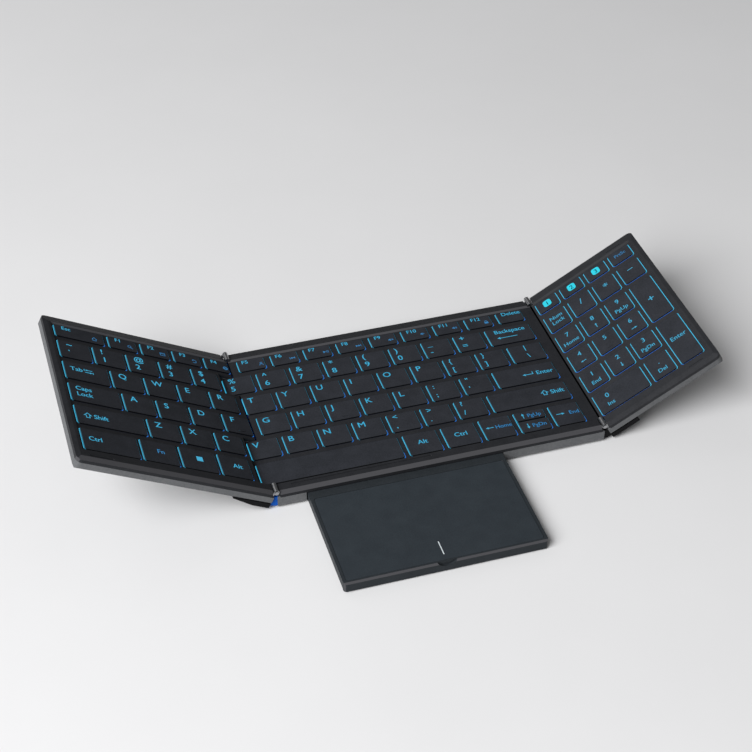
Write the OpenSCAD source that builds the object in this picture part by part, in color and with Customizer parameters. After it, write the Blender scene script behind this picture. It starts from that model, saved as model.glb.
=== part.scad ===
// Folding keyboard: a centre panel on feet, a left wing and a numeric right wing that fold
// over it, and a touchpad drawer that pulls out of the centre panel towards the user.
// Each panel is drawn in its own frame: x runs outwards from a fold line, y from the near
// edge to the back, and z = 0 is the height of the fold axes. The last section places them.
// The origin is the middle of the rear foot's resting face. Units are millimetres.

/* [Keys] */
// Distance from one letter key to the next
key_pitch = 18.9; // [18.4:0.1:19.6]
// Deck strip between neighbouring caps, gaps included
cap_gap = 2.95; // [2.6:0.05:3.4]
// The same strip in the function row, whose caps are narrower
top_cap_gap = 3.9; // [3.4:0.1:4.6]
// How much nearer to the fold the left wing's strips begin than even spacing puts them
left_strip_shift = 0.45; // [0:0.05:0.8]
// How much narrower the strips are on the left wing
left_strip_less = 1.15; // [0:0.05:1.2]
// Strip between one row of caps and the next
row_gap = 3.6; // [3.2:0.1:4.2]
// Depth of an ordinary cap, near edge to far edge
cap_depth = 14.4; // [13.4:0.1:15.4]
// Depth of the caps of the function row
top_cap_depth = 9.6; // [8.6:0.1:11]
// Depth of the caps of the space row
bottom_cap_depth = 16.3; // [15:0.1:17.5]
// Corner radius of a cap, seen from above
cap_corner = 1; // [0.5:0.1:1.4]
// Gap all round a cap, where the backlight shows
cap_clear = 0.35; // [0.25:0.05:0.5]
// Depth of the cap tops below the fold axes
cap_recess = 0.4; // [0.3:0.05:0.6]
// Height of a cap from its lower rim to its top
cap_height = 1.1; // [0.95:0.05:1.2]
// Thickness of a cap's top
cap_skin = 0.7; // [0.5:0.05:0.8]
// Wall of a cap's skirt
cap_wall = 0.9; // [0.7:0.1:1.2]
// Bevel round a cap's top edge
cap_bevel = 0.2; // [0.15:0.05:0.3]
// How far a key goes down
key_travel = 1; // [0.8:0.05:1]
// Width of the Esc key, which sets the left wing's length
esc_width = 25.75; // [22:0.25:30]
// Share of the paging key's depth taken by its lower half
page_split = 0.565; // [0.45:0.005:0.6]
// Gap between the two halves of the paging key
page_gap = 0.7; // [0.5:0.1:1]

/* [Panels] */
// Near edge to the first caps
near_margin = 8.45; // [8.2:0.05:10]
// Last caps to the back edge
far_margin = 8.8; // [8.6:0.1:10]
// Outer caps to the left wing's outer end
left_end_margin = 5.35; // [4.8:0.05:7]
// Outer caps to the right wing's outer end
right_end_margin = 5.65; // [4.8:0.05:7]
// Last caps to the right fold line, on the centre panel
centre_end_margin = 7.15; // [6:0.05:9]
// Fold line to the first caps on the right wing
pad_start = 2.15; // [1.9:0.05:2.6]
// Centre panel's thickness below the fold axes
centre_thick = 9; // [8.8:0.1:10.5]
// Wing's thickness below the fold axes
wing_thick = 6.9; // [6.7:0.05:7]
// Depth of the rim tops below the fold axes
rim_drop = 0.15; // [0.1:0.05:0.25]
// Depth of the seam between a top frame and its lower shell
seam_drop = 2.84; // [2.8:0.02:2.95]
// Depth of the deck between the keys
deck_drop = 0.85; // [0.8:0.05:0.95]
// Thickness of the deck
deck_thick = 1.05; // [1:0.05:1.05]
// Outer walls of the top frames and lower shells
wall = 1.6; // [1.4:0.1:1.8]
// Wall of a top frame along the fold
fold_wall = 1; // [0.8:0.1:1.2]
// Floor of the wings' lower shells
wing_floor = 0.9; // [0.7:0.1:1.1]
// Floor of the centre's lower shell
centre_floor = 1; // [0.8:0.1:1.2]
// Radius of the wings' outer corners
corner_radius = 3; // [2.5:0.5:5]
// Bevel along the lower edges of the shells
base_bevel = 0.8; // [0.4:0.1:1]
// Width of the near bevel
near_bevel = 2.65; // [2:0.05:3.2]
// Width of the back slope
far_bevel = 6.5; // [5.5:0.1:6.8]
// Width of the bevel at a wing's outer end
end_bevel = 2.3; // [1.8:0.1:2.6]
// Depth of the near and end edges where their bevels start
edge_drop = 1; // [0.7:0.1:1.3]
// Depth of the back edge where its slope ends
far_edge_drop = 1.8; // [1.4:0.1:2.2]
// Flat rim between the keys' well and the end bevel
end_flat = 1.6; // [1.2:0.1:2]
// Width of the grooves in the rims
groove_width = 1; // [0.8:0.1:1.2]
// Depth of the grooves in the near rims
groove_drop = 0.3; // [0.2:0.05:0.4]
// Fold line to the start of the centre's groove
centre_groove_start = 8.6; // [8:0.2:12]
// Length of the centre's groove
centre_groove_length = 74.9; // [60:0.1:80]
// Length of the left wing's groove
left_groove_length = 12.7; // [8:0.1:16]
// Length of the right wing's grooves
right_groove_length = 9; // [6:0.1:12]

/* [Key stack] */
// Thickness of the dome sheet's base
dome_sheet_thick = 0.08; // [0.05:0.01:0.08]
// Thickness of the switch membrane
membrane_thick = 0.1; // [0.06:0.01:0.12]
// Thickness of the steel support plate
plate_thick = 0.25; // [0.2:0.01:0.26]
// Thickness of the light guide
guide_thick = 0.25; // [0.2:0.01:0.26]
// Radius of a dome at its foot
dome_radius = 2.6; // [2:0.1:3]
// Radius of a dome at its top
dome_top_radius = 1.5; // [1:0.1:1.9]

/* [Folds] */
// Tilt of the left wing as photographed
left_tilt = 27.5; // [15:0.5:28]
// Tilt of the right wing as photographed
right_tilt = 30.5; // [15:0.5:31]
// Fold axis to the end of each panel
fold_clear = 0.3; // [0.25:0.05:0.4]
// Radius of a hinge barrel
barrel_radius = 1.45; // [1.2:0.05:1.5]
// Radius of a hinge pin
pin_radius = 0.6; // [0.5:0.05:0.7]
// Running clearance of a pin in a wing's knuckles
pin_clear = 0.05; // [0.03:0.01:0.08]
// Length of a hinge barrel
barrel_length = 6.4; // [5.6:0.1:6.4]
// Near edge to the barrel, and back edge to the far barrel
barrel_inset = 0.9; // [0.8:0.1:1]
// Gap between neighbouring knuckles
knuckle_gap = 0.1; // [0.06:0.02:0.2]
// Thickness of a hinge leaf
leaf_thick = 0.6; // [0.5:0.05:0.65]
// Reach of a hinge leaf into its panel
leaf_reach = 8.5; // [6.5:0.1:9]
// Wall round the keys that overhang the left fold
tongue_wall = 0.5; // [0.4:0.05:0.6]
// Clearance between those overhangs and the left wing's notches
notch_clear = 0.5; // [0.4:0.05:0.6]
// Thickness of a spine guard's curved sheet
guard_thick = 0.4; // [0.3:0.05:0.45]
// Outer radius of a spine guard
guard_radius = 8.8; // [8.7:0.05:8.85]
// Thickness of a guard's flange and end plates
guard_plate = 0.8; // [0.6:0.05:0.8]
// How far a guard reaches behind the wing at the photographed tilt, in degrees
guard_overlap = 2; // [1:0.5:3]
// Reach of the left hinge cover
left_cover_reach = 21.5; // [18:0.5:26]
// Reach of the right hinge cover
right_cover_reach = 17; // [14:0.5:22]
// Clearance of a hinge cover above the desk when the wing lies flat
cover_lift = 0.15; // [0.1:0.05:0.2]
// Wall of a hinge cover
cover_wall = 0.55; // [0.45:0.05:0.6]

/* [Touchpad drawer] */
// Width of the drawer
drawer_width = 104.7; // [96:0.1:106]
// Left fold line to the drawer
drawer_start = 15.8; // [15:0.1:18]
// How far the drawer pulls out
drawer_travel = 66.3; // [60:0.1:68]
// Length that stays in the rails when it is out
drawer_hold = 10.5; // [9.5:0.5:14]
// Depth of the drawer's top below the fold axes
drawer_top_drop = 3.45; // [3.4:0.05:3.6]
// Wall of the drawer's tray
tray_wall = 1.2; // [1:0.1:1.4]
// Floor of the drawer's tray
tray_floor = 0.8; // [0.6:0.05:1]
// Thickness of the tray's front
front_thick = 2.2; // [1.8:0.1:2.4]
// Clearance between the drawer and the front opening
drawer_clear = 0.6; // [0.5:0.05:0.8]
// Clearance under the tray
tray_lift = 0.15; // [0.1:0.05:0.25]
// Bay floor, thinner than the rest of the shell's floor
bay_floor = 0.4; // [0.3:0.05:0.45]
// Wall round the drawer's bay
bay_wall = 1.4; // [1.2:0.1:1.6]
// Border of the lid left and right of the touch surface
pad_border = 1.6; // [1.2:0.1:2.2]
// Border behind the touch surface
pad_rear_border = 4.8; // [4:0.1:6]
// Gap round the touch surface
pad_clear = 0.2; // [0.15:0.05:0.3]
// Thickness of the touch surface
pad_thick = 0.8; // [0.6:0.05:1]
// Thickness of the touch board
pad_board_thick = 0.8; // [0.6:0.05:1]
// How far the touch surface clicks down
pad_travel = 0.25; // [0.2:0.05:0.25]
// Radius of the drawer's front corners
drawer_corner = 1.6; // [1:0.1:2]
// Width of the thumb scoop in the drawer's front
scoop_width = 10.2; // [8:0.2:14]
// Depth of the thumb scoop
scoop_depth = 2.65; // [1.6:0.05:3]
// Height of the runners on the tray's sides
runner_height = 1; // [0.8:0.1:1.2]
// Reach of the runners
runner_reach = 1.7; // [1.4:0.1:1.8]
// Running clearance of the runners in the rails
runner_clear = 0.1; // [0.08:0.01:0.15]
// Metal thickness of the rails
rail_thick = 0.5; // [0.4:0.05:0.6]

/* [Feet, screws and electronics] */
// Height of the centre panel's feet
foot_height = 0.8; // [0.6:0.1:1.2]
// Length of the rear foot
rear_foot_length = 120; // [80:1:140]
// Length of each front foot
front_foot_length = 28; // [16:1:30]
// Width of every foot
foot_width = 5; // [4:0.5:6]
// Near edge to the middle of the rear foot
rear_foot_y = 107; // [98:0.5:108]
// Length of a wing's foot
wing_foot_length = 20; // [12:1:28]
// Radius of a screw's shank
screw_radius = 0.8; // [0.6:0.05:0.9]
// Radius of a screw's head
screw_head_radius = 1.6; // [1.3:0.1:1.7]
// Height of a screw's head
screw_head_height = 0.7; // [0.5:0.1:0.8]
// Fold line to the nearest screws of the back edge
screw_end = 14; // [10:0.5:18]
// Radius of the bosses
boss_radius = 2.2; // [2:0.1:2.4]
// Length of the battery
battery_length = 75; // [50:1:90]
// Width of the battery
battery_width = 28; // [20:0.5:30]
// Thickness of the battery
battery_thick = 3.8; // [3:0.1:4.2]
// Thickness of the main board
board_thick = 1; // [0.8:0.1:1.2]
// Width of the charge port's shell
port_width = 8.9; // [8:0.1:9.2]
// Height of the charge port's shell
port_height = 3.2; // [2.8:0.1:3.3]
// Length of the charge port's shell
port_length = 7; // [6:0.1:8]

/* [Hidden] */

$fn = 48;
corner_steps = 4; // straight runs in a cap's rounded corner
past = 1; // how far a cutting solid runs past what it cuts

// Rows are counted from the near edge: 0 is the space row, 5 the function row.
SPACE = 0;
LOWER = 1;
HOME = 2;
UPPER = 3;
NUMBER = 4;
FUNCTION = 5;
ROWS = [SPACE, LOWER, HOME, UPPER, NUMBER, FUNCTION];

// Each row: where its first cap starts, counted from the fold line, and the widths of its keys
// in key pitches. The last key, 0, fills the row to the field's end.
left_rows = [
    [10.3, [1.1, 1.14, 1.12, 0]],
    [9.45, [1, 1, 1, 0]],
    [0.5, [1, 1, 1, 1, 0]],
    [3.6, [1, 1, 1, 1, 0]],
    [10.3, [1, 1, 1, 1, 0]],
    [0.5, [1, 1, 1, 1, 0]]
];
centre_rows = [
    [-5.2, [4.16, 1.11, 1.11, 1.04, 1.04, 0]],
    [-5.6, [1, 1, 1, 1, 1, 1, 1, 0]],
    [3.85, [1, 1, 1, 1, 1, 1, 1, 0]],
    [0.35, [1, 1, 1, 1, 1, 1, 1, 1, 0]],
    [-6.5, [1, 1, 1, 1, 1, 1, 1, 1, 0]],
    [4.65, [1, 1, 1, 1, 1, 1, 1, 1, 0]]
];
pad_rows = [[2, 1], [1, 1, 1], [1, 1, 1], [1, 1, 1], [1, 1, 1, 1], [1, 1, 1, 1]];
pad_columns = 4;
page_key = 4; // place of the paging key in the centre's space row

function sum(list, n) = n <= 0 ? 0 : list[n - 1] + sum(list, n - 1);
function row_start(r) = near_margin
    + (r == SPACE ? 0 : bottom_cap_depth + row_gap + (r - 1) * (cap_depth + row_gap));
function row_depth(r) = r == SPACE ? bottom_cap_depth : r == FUNCTION ? top_cap_depth : cap_depth;
function row_end(r) = row_start(r) + row_depth(r);
function gap_in(r) = r == FUNCTION ? top_cap_gap : cap_gap;

// Panel sizes that follow from the keys
depth = row_end(FUNCTION) + far_margin;
centre_field_end = centre_rows[FUNCTION][0] + len(centre_rows[FUNCTION][1]) * key_pitch - top_cap_gap;
centre_width = centre_field_end + centre_end_margin;
left_field_end = left_rows[FUNCTION][0] + 4 * key_pitch + esc_width;
left_width = left_field_end + left_end_margin;
right_width = centre_width - left_width - fold_clear;
pad_field_end = right_width - right_end_margin;
pad_pitch = (pad_field_end - pad_start + cap_gap) / pad_columns;

// Caps of one row as [start, end] pairs; the strips between them may be shifted and narrower
function caps(row, gap, field_end, shift = 0, less = 0) = [
    for (k = [0 : len(row[1]) - 1])
        let (start = row[0] + key_pitch * sum(row[1], k))
            [start - (k == 0 ? 0 : shift + less),
                row[1][k] == 0 ? field_end : start + row[1][k] * key_pitch - gap - shift]
];
function left_caps(r) = caps(left_rows[r], gap_in(r), left_field_end, left_strip_shift, left_strip_less);
function centre_caps(r) = caps(centre_rows[r], gap_in(r), centre_field_end);
function pad_caps(r) = [
    for (k = [0 : len(pad_rows[r]) - 1])
        let (start = pad_start + pad_pitch * sum(pad_rows[r], k))
            [start, start + pad_rows[r][k] * pad_pitch - cap_gap]
];
tall_cap = [pad_start + (pad_columns - 1) * pad_pitch, pad_field_end];

// Heights, all below the fold axes
press_play = 0.04; // left under a pressed cap
cap_top = -cap_recess;
cap_rim = cap_top - cap_height;
cap_underside = cap_top - cap_skin;
deck_top = -deck_drop;
deck_under = deck_top - deck_thick;
sheet_top = cap_rim - key_travel - press_play;
membrane_top = sheet_top - dome_sheet_thick;
plate_top = membrane_top - membrane_thick;
guide_top = plate_top - plate_thick;
stack_under = guide_top - guide_thick;
rim_height = centre_thick + foot_height;
stack_start = near_margin - cap_clear;
stack_finish = row_end(FUNCTION) + cap_clear;
stack_inset = 2.6; // fold line to the edge of the sheets

// The keys' well and the ridge behind it
well_border = 0.5;
well_start = near_margin - cap_clear - well_border;
well_finish = row_end(FUNCTION) + cap_clear + well_border;
ridge = depth - far_bevel;
near_slope = (edge_drop - rim_drop) / near_bevel;
far_slope = (far_edge_drop - rim_drop) / far_bevel;
ridge_flat = 0.3; // between the well and the ridge
near_groove_y = near_bevel + groove_width / 2 + 0.5;
left_groove_in = 6.8; // outer end to the left wing's groove
right_groove_in = 8.2; // outer end to the right wing's near groove
far_groove_in = 9; // outer end to the right wing's far groove
centre_groove_y = (near_bevel + well_start) / 2 + 0.5;
far_groove_y = ridge + 1.1;

// Tongues of the centre panel under the caps that overhang the left fold
tongue_play = 0.08; // left under the key stack
tongue_drop = -stack_under + tongue_play;
tongue_rows = [[SPACE, LOWER], [NUMBER, NUMBER]];
notch_end_clear = 0.35;
function tongue_reach(t) = -min(centre_rows[t[0]][0], centre_rows[t[1]][0]) + cap_clear + tongue_wall;
function tongue_start(t) = row_start(t[0]) - cap_clear - tongue_wall;
function tongue_end(t) = row_end(t[1]) + cap_clear + tongue_wall;
function notch_reach(t) = norm([tongue_reach(t), tongue_drop]) + notch_end_clear;

// Hinges
barrel_room = 0.3; // round the barrels
barrel_notch = barrel_radius + barrel_room;
barrel_end = barrel_inset + barrel_length;
middle_share = 0.46; // of a barrel's length, taken by its middle knuckle
end_share = (1 - middle_share) / 2;
knuckle = (barrel_length - 2 * knuckle_gap) * [end_share, middle_share, end_share];
web_thick = 0.8; // of a knuckle's web
leaf_top = deck_under;
leaf_start = wall + 0.2;
leaf_finish = barrel_end - 1.4;
pin_head = 0.5;
pin_head_radius = pin_radius * 1.9;
pin_proud = 0.6; // a pin's head and neck in front of its barrel
guard_clear = 0.15;
guard_top = -tongue_drop - guard_clear;
guard_start = 1.3; // near edge to a guard's end plate
guard_window = 3.3; // inner radius of a guard's end plates
slot_clear = 0.2;
cover_under = -rim_height + cover_lift;
cover_margin = 1.1; // a cover's end walls
cover_flat = 0.45; // share of a cover's reach that is level
cover_edge = 0.6; // height of the left cover's thin outer edge
cover_rise = -wing_thick - cover_edge - cover_under;

// Touchpad drawer, drawn at the place where it is pulled out
drawer_end = drawer_start + drawer_width;
drawer_front = -drawer_travel;
drawer_back = drawer_hold;
drawer_top = -drawer_top_drop;
pad_recess = 0.08; // of the touch surface in the lid
pad_play = 0.07; // left under the touch surface when it is clicked down
pad_top = drawer_top - pad_recess;
pad_board_top = pad_top - pad_thick;
lid_under = pad_board_top - pad_travel - pad_play;
bay_floor_top = -centre_thick + bay_floor;
tray_under = bay_floor_top + tray_lift;
rail_play = 0.4; // beside the runners
rail_reach = runner_reach + rail_play + rail_thick;
bay_play = 0.6; // behind the drawer when it is pushed in
bay_start = drawer_start - rail_reach;
bay_end = drawer_end + rail_reach;
bay_back = drawer_travel + drawer_hold + bay_play;
runner_z = (drawer_top + tray_under) / 2 - runner_height / 2;
pad_start_x = drawer_start + pad_border;
pad_end_x = drawer_end - pad_border;
pad_front = drawer_front + pad_border + 0.2;
pad_back = -pad_rear_border;
pad_corner = 1.5;
pad_seat = pad_board_top - pad_board_thick - pad_travel - pad_play;
pad_ledge = 3; // width of the ledges under the touch board
switch_y = drawer_front + 10;
switch_post = 0.6;
front_chamfer = 0.9;
scoop_depth_in = 1.2; // how far the scoop runs into the front

// Electronics
inner_floor = -centre_thick + centre_floor;
board_start = bay_end + bay_wall + 3;
board_end = centre_width - stack_inset - 2;
board_width = board_end - board_start;
board_near = 12;
board_far = depth - 8;
board_posts = 0.6; // height of the posts under the main board
board_under = inner_floor + board_posts;
board_top = board_under + board_thick;
port_x = (board_start + board_end) / 2;
screw_third = (centre_width - 2 * screw_end) / 3;
screw_spots_far = [for (k = [0 : 3]) screw_end + k * screw_third];
screw_spots_near = [board_start + boss_radius, centre_width - screw_end - boss_radius];
screw_inset_far = 4.35;
screw_inset_near = 4.9;
shank_room = 0.1; // round a screw in the lower shell
head_room = 0.15; // round a screw's head
screw_sink = 0.3; // of a screw's head in the floor
rib = 1; // width of the ribs
root = 0.2; // how far ribs and posts sink into a floor

// ---- Shared shapes ----

// A quarter turn round (x, y)
function arc(x, y, r, from) = [
    for (i = [0 : corner_steps])
        let (a = from + 90 * i / corner_steps) [x + r * cos(a), y + r * sin(a)]
];
function rounded(x0, y0, x1, y1, r) = concat(
    arc(x1 - r, y1 - r, r, 0),
    arc(x0 + r, y1 - r, r, 90),
    arc(x0 + r, y0 + r, r, 180),
    arc(x1 - r, y0 + r, r, 270)
);

module box(x, y, z) {
    translate([x[0], y[0], z[0]]) cube([x[1] - x[0], y[1] - y[0], z[1] - z[0]]);
}

// A (y, z) outline drawn out along x
module along_x(x) {
    translate([x[0], 0, 0]) rotate([90, 0, 90]) linear_extrude(x[1] - x[0]) children();
}

// An (x, z) outline drawn out along y
module along_y(y) {
    translate([0, y[1], 0]) rotate([90, 0, 0]) linear_extrude(y[1] - y[0]) children();
}

// The same thing at the near edge and, turned round, at the back edge
module near_and_far() {
    children();
    translate([0, depth, 0]) mirror([0, 1, 0]) children();
}

// A round-ended groove in a rim; a negative length runs back from x
module groove(x, length, y) {
    r = groove_width / 2;
    start = min(x, x + length);
    down = y > ridge ? groove_drop + far_slope * (y + r - ridge) : groove_drop;
    translate([0, 0, -rim_drop - down]) linear_extrude(down + past) {
        translate([start + r, y - r]) square([abs(length) - groove_width, groove_width]);
        for (end = [start + r, start + abs(length) - r]) translate([end, y]) circle(r);
    }
}

// ---- Keys ----

// Caps of one row: an outline prism cut by a bevelled profile each way, hollow below
module cap_row(spans, y0, y1) {
    low = cap_rim - past;
    slope_foot = cap_top - cap_bevel - past;
    difference() {
        intersection() {
            translate([0, 0, cap_rim]) linear_extrude(cap_height + past)
                for (s = spans) polygon(rounded(s[0], y0, s[1], y1, cap_corner));
            along_x([spans[0][0] - past, spans[len(spans) - 1][1] + past]) polygon([
                [y0 - past, low], [y0 - past, slope_foot], [y0 + cap_bevel, cap_top],
                [y1 - cap_bevel, cap_top], [y1 + past, slope_foot], [y1 + past, low]
            ]);
            along_y([y0 - past, y1 + past]) for (s = spans) polygon([
                [s[0] - past, low], [s[0] - past, slope_foot], [s[0] + cap_bevel + past, cap_top + past],
                [s[1] - cap_bevel - past, cap_top + past], [s[1] + past, slope_foot], [s[1] + past, low]
            ]);
        }
        for (s = spans)
            box([s[0] + cap_wall, s[1] - cap_wall], [y0 + cap_wall, y1 - cap_wall], [low, cap_underside]);
    }
}

module key_colour() {
    color([0.17, 0.175, 0.19]) children();
}

module key_row(spans, r) {
    key_colour() cap_row(spans, row_start(r), row_end(r));
}

function without(list, dropped) = [for (k = [0 : len(list) - 1]) if (!dropped(k)) list[k]];

module space_bar() {
    in_centre() key_row([centre_caps(SPACE)[0]], SPACE);
}

// The rest of the space row, with the paging key in two halves
module centre_space_row() {
    spans = without(centre_caps(SPACE), function (k) k == 0 || k == page_key);
    page = centre_caps(SPACE)[page_key];
    split = row_start(SPACE) + page_split * row_depth(SPACE);
    in_centre() {
        key_row(spans, SPACE);
        key_colour() cap_row([page], row_start(SPACE), split - page_gap / 2);
        key_colour() cap_row([page], split + page_gap / 2, row_end(SPACE));
    }
}

module tall_keys() {
    in_right() {
        key_colour() cap_row([tall_cap], row_start(SPACE), row_end(LOWER));
        key_colour() cap_row([tall_cap], row_start(HOME), row_end(UPPER));
    }
}

// ---- Key stack: dome sheet, membrane, support plate and light guide ----

// Outline of a panel's sheets between two x values
module sheet_outline(x0, x1) {
    translate([x0, stack_start]) square([x1 - x0, stack_finish - stack_start]);
}

module centre_sheet_outline() {
    sheet_outline(stack_inset, centre_width - stack_inset);
    for (t = tongue_rows) {
        side = tongue_wall + 0.15;
        translate([-tongue_reach(t) + side, tongue_start(t) + side])
            square([tongue_reach(t) + stack_inset, tongue_end(t) - tongue_start(t) - 2 * side]);
    }
}

module left_sheet_outline() {
    difference() {
        sheet_outline(stack_inset, left_width - wall - 0.4);
        notch_outline(fold_wall + 0.3);
    }
}

module right_sheet_outline() {
    sheet_outline(stack_inset, right_width - wall - 0.4);
}

// One flat sheet of the stack, drawn from an outline
module sheet(top, thick) {
    translate([0, 0, top - thick]) linear_extrude(thick) children();
}

// A dome under the middle of each cap
module domes(spans, r0, r1) {
    y = (row_start(r0) + row_end(r1)) / 2;
    height = cap_underside - 0.05 - sheet_top;
    for (s = spans)
        translate([(s[0] + s[1]) / 2, y, sheet_top]) cylinder(height, dome_radius, dome_top_radius);
}

module centre_dome_sheet() {
    page = centre_caps(SPACE)[page_key];
    half = row_depth(SPACE) / 4;
    color([0.75, 0.86, 0.92]) in_centre() {
        sheet(sheet_top, dome_sheet_thick) centre_sheet_outline();
        for (r = ROWS) if (r != SPACE) domes(centre_caps(r), r, r);
        domes(without(centre_caps(SPACE), function (k) k == page_key), SPACE, SPACE);
        for (side = [-half, half]) translate([0, side, 0]) domes([page], SPACE, SPACE);
    }
}

module left_dome_sheet() {
    color([0.75, 0.86, 0.92]) in_left() {
        sheet(sheet_top, dome_sheet_thick) left_sheet_outline();
        for (r = ROWS) domes(left_caps(r), r, r);
    }
}

module right_dome_sheet() {
    color([0.75, 0.86, 0.92]) in_right() {
        sheet(sheet_top, dome_sheet_thick) right_sheet_outline();
        for (r = ROWS) domes(pad_caps(r), r, r);
        domes([tall_cap], SPACE, LOWER);
        domes([tall_cap], HOME, UPPER);
    }
}

module membrane() {
    color([0.55, 0.6, 0.62]) sheet(membrane_top, membrane_thick) children();
}

module support_plate() {
    color([0.62, 0.63, 0.65]) sheet(plate_top, plate_thick) children();
}

module light_guide() {
    color([0.8, 0.93, 1]) sheet(guide_top, guide_thick) children();
}

// ---- Top frames ----

// Outline of a wing, its outer corners rounded, drawn in by inset
module wing_outline(width, inset) {
    r = corner_radius - inset;
    start = fold_clear + (inset > 0 ? fold_wall : 0);
    translate([start, inset]) square([width - corner_radius - start, depth - 2 * inset]);
    translate([width - 2 * corner_radius, corner_radius])
        square([corner_radius + r, depth - 2 * corner_radius]);
    for (y = [corner_radius, depth - corner_radius]) translate([width - corner_radius, y]) circle(r);
}

// The left wing's notches for the centre panel's tongues, grown by some amount
module notch_outline(grow) {
    for (t = tongue_rows)
        translate([-past, tongue_start(t) - notch_clear - grow])
            square([past + notch_reach(t) + grow, tongue_end(t) - tongue_start(t) + 2 * (notch_clear + grow)]);
}

// Across a panel: near side, near bevel, flat rim, back slope, back side
module frame_profile() {
    polygon([
        [-past, -seam_drop - past], [-past, -edge_drop - near_slope * past],
        [near_bevel, -rim_drop], [ridge, -rim_drop],
        [depth + past, -far_edge_drop - far_slope * past], [depth + past, -seam_drop - past]
    ]);
}

// Along a wing: the bevel at its outer end
module end_profile(width) {
    slope = (edge_drop - rim_drop) / end_bevel;
    high = 2;
    polygon([
        [-past, -seam_drop - past], [-past, high],
        [width - end_bevel - (high + rim_drop) / slope, high],
        [width + past, -edge_drop - slope * past], [width + past, -seam_drop - past]
    ]);
}

// The well that the keys stand in, with its sloping far wall
module well(x) {
    rise = past + deck_drop;
    lean = (ridge - ridge_flat - well_finish) / (deck_drop - rim_drop);
    along_x(x) polygon([
        [well_start, deck_top], [well_finish, deck_top],
        [well_finish + lean * rise, past], [well_start, past]
    ]);
}

// Openings of one row of caps, right through the frame
module cap_openings(spans, y0, y1) {
    translate([0, 0, -seam_drop - past]) linear_extrude(seam_drop + 2 * past)
        for (s = spans)
            polygon(rounded(s[0] - cap_clear, y0 - cap_clear, s[1] + cap_clear, y1 + cap_clear,
                cap_corner + cap_clear));
}

module row_openings(spans, r) {
    cap_openings(spans, row_start(r), row_end(r));
}

// Room for the hinge barrels at one fold
module barrel_notches(down) {
    near_and_far()
        box([-past, barrel_notch], [-past, barrel_end + slot_clear], [-down, past]);
}

module frame_blank(x) {
    intersection() {
        translate([0, 0, -seam_drop]) linear_extrude(seam_drop) children();
        along_x(x) frame_profile();
    }
}

module wing_frame_blank(width) {
    intersection() {
        frame_blank([-past, width + past]) wing_outline(width, 0);
        along_y([-past, depth + past]) end_profile(width);
    }
}

module left_top_frame() {
    color([0.2, 0.205, 0.215]) in_left() difference() {
        wing_frame_blank(left_width);
        well([-past, left_width - end_bevel - end_flat]);
        translate([0, 0, -seam_drop - past]) linear_extrude(seam_drop + past + deck_under) difference() {
            wing_outline(left_width, wall);
            notch_outline(fold_wall);
        }
        translate([0, 0, -seam_drop - past]) linear_extrude(seam_drop + 2 * past) notch_outline(0);
        for (r = ROWS) row_openings(left_caps(r), r);
        barrel_notches(seam_drop + past);
        groove(left_width - left_groove_in, -left_groove_length, near_groove_y);
    }
}

module right_top_frame() {
    color([0.2, 0.205, 0.215]) in_right() difference() {
        wing_frame_blank(right_width);
        well([-past, right_width - end_bevel - end_flat]);
        translate([0, 0, -seam_drop - past]) linear_extrude(seam_drop + past + deck_under)
            wing_outline(right_width, wall);
        for (r = ROWS) row_openings(pad_caps(r), r);
        cap_openings([tall_cap], row_start(SPACE), row_end(LOWER));
        cap_openings([tall_cap], row_start(HOME), row_end(UPPER));
        barrel_notches(seam_drop + past);
        groove(right_width - right_groove_in, -right_groove_length, near_groove_y);
        groove(right_width - far_groove_in, -right_groove_length, far_groove_y);
    }
}

// Tongue under the caps that overhang the left fold
module tongue_blank(t) {
    box([-tongue_reach(t), fold_clear + past], [tongue_start(t), tongue_end(t)], [-tongue_drop, deck_top]);
}

module tongue_cavity(t) {
    box([-tongue_reach(t) + tongue_wall, stack_inset],
        [tongue_start(t) + tongue_wall, tongue_end(t) - tongue_wall],
        [-tongue_drop - past, deck_under]);
}

module screw_spots() {
    for (x = screw_spots_far) translate([x, depth - screw_inset_far, 0]) children();
    for (x = screw_spots_near) translate([x, screw_inset_near, 0]) children();
}

module centre_top_frame() {
    page = centre_caps(SPACE)[page_key];
    split = row_start(SPACE) + page_split * row_depth(SPACE);
    color([0.2, 0.205, 0.215]) in_centre() difference() {
        union() {
            difference() {
                frame_blank([-past, centre_width + past])
                    translate([fold_clear, 0]) square([centre_width - 2 * fold_clear, depth]);
                well([-past, centre_width + past]);
                box([fold_clear + fold_wall, centre_width - fold_clear - fold_wall],
                    [wall, depth - wall], [-seam_drop - past, deck_under]);
                barrel_notches(seam_drop + past);
                translate([centre_width, 0, 0]) mirror([1, 0, 0]) barrel_notches(seam_drop + past);
            }
            for (t = tongue_rows) tongue_blank(t);
            screw_spots() translate([0, 0, -seam_drop])
                cylinder(seam_drop + deck_under, r = boss_radius - slot_clear);
        }
        for (t = tongue_rows) tongue_cavity(t);
        for (r = ROWS) if (r != SPACE) row_openings(centre_caps(r), r);
        row_openings(without(centre_caps(SPACE), function (k) k == page_key), SPACE);
        cap_openings([page], row_start(SPACE), row_end(SPACE));
        screw_spots() translate([0, 0, -seam_drop - past])
            cylinder(past + seam_drop + deck_under, r = screw_radius);
        groove(centre_groove_start, centre_groove_length, centre_groove_y);
    }
}

// ---- Lower shells ----

// Across a shell: both lower edges bevelled
module shell_profile(thick) {
    foot = -thick + base_bevel + past;
    polygon([
        [-past, past], [-past, foot], [base_bevel + past, -thick - past],
        [depth - base_bevel - past, -thick - past], [depth + past, foot], [depth + past, past]
    ]);
}

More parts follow.
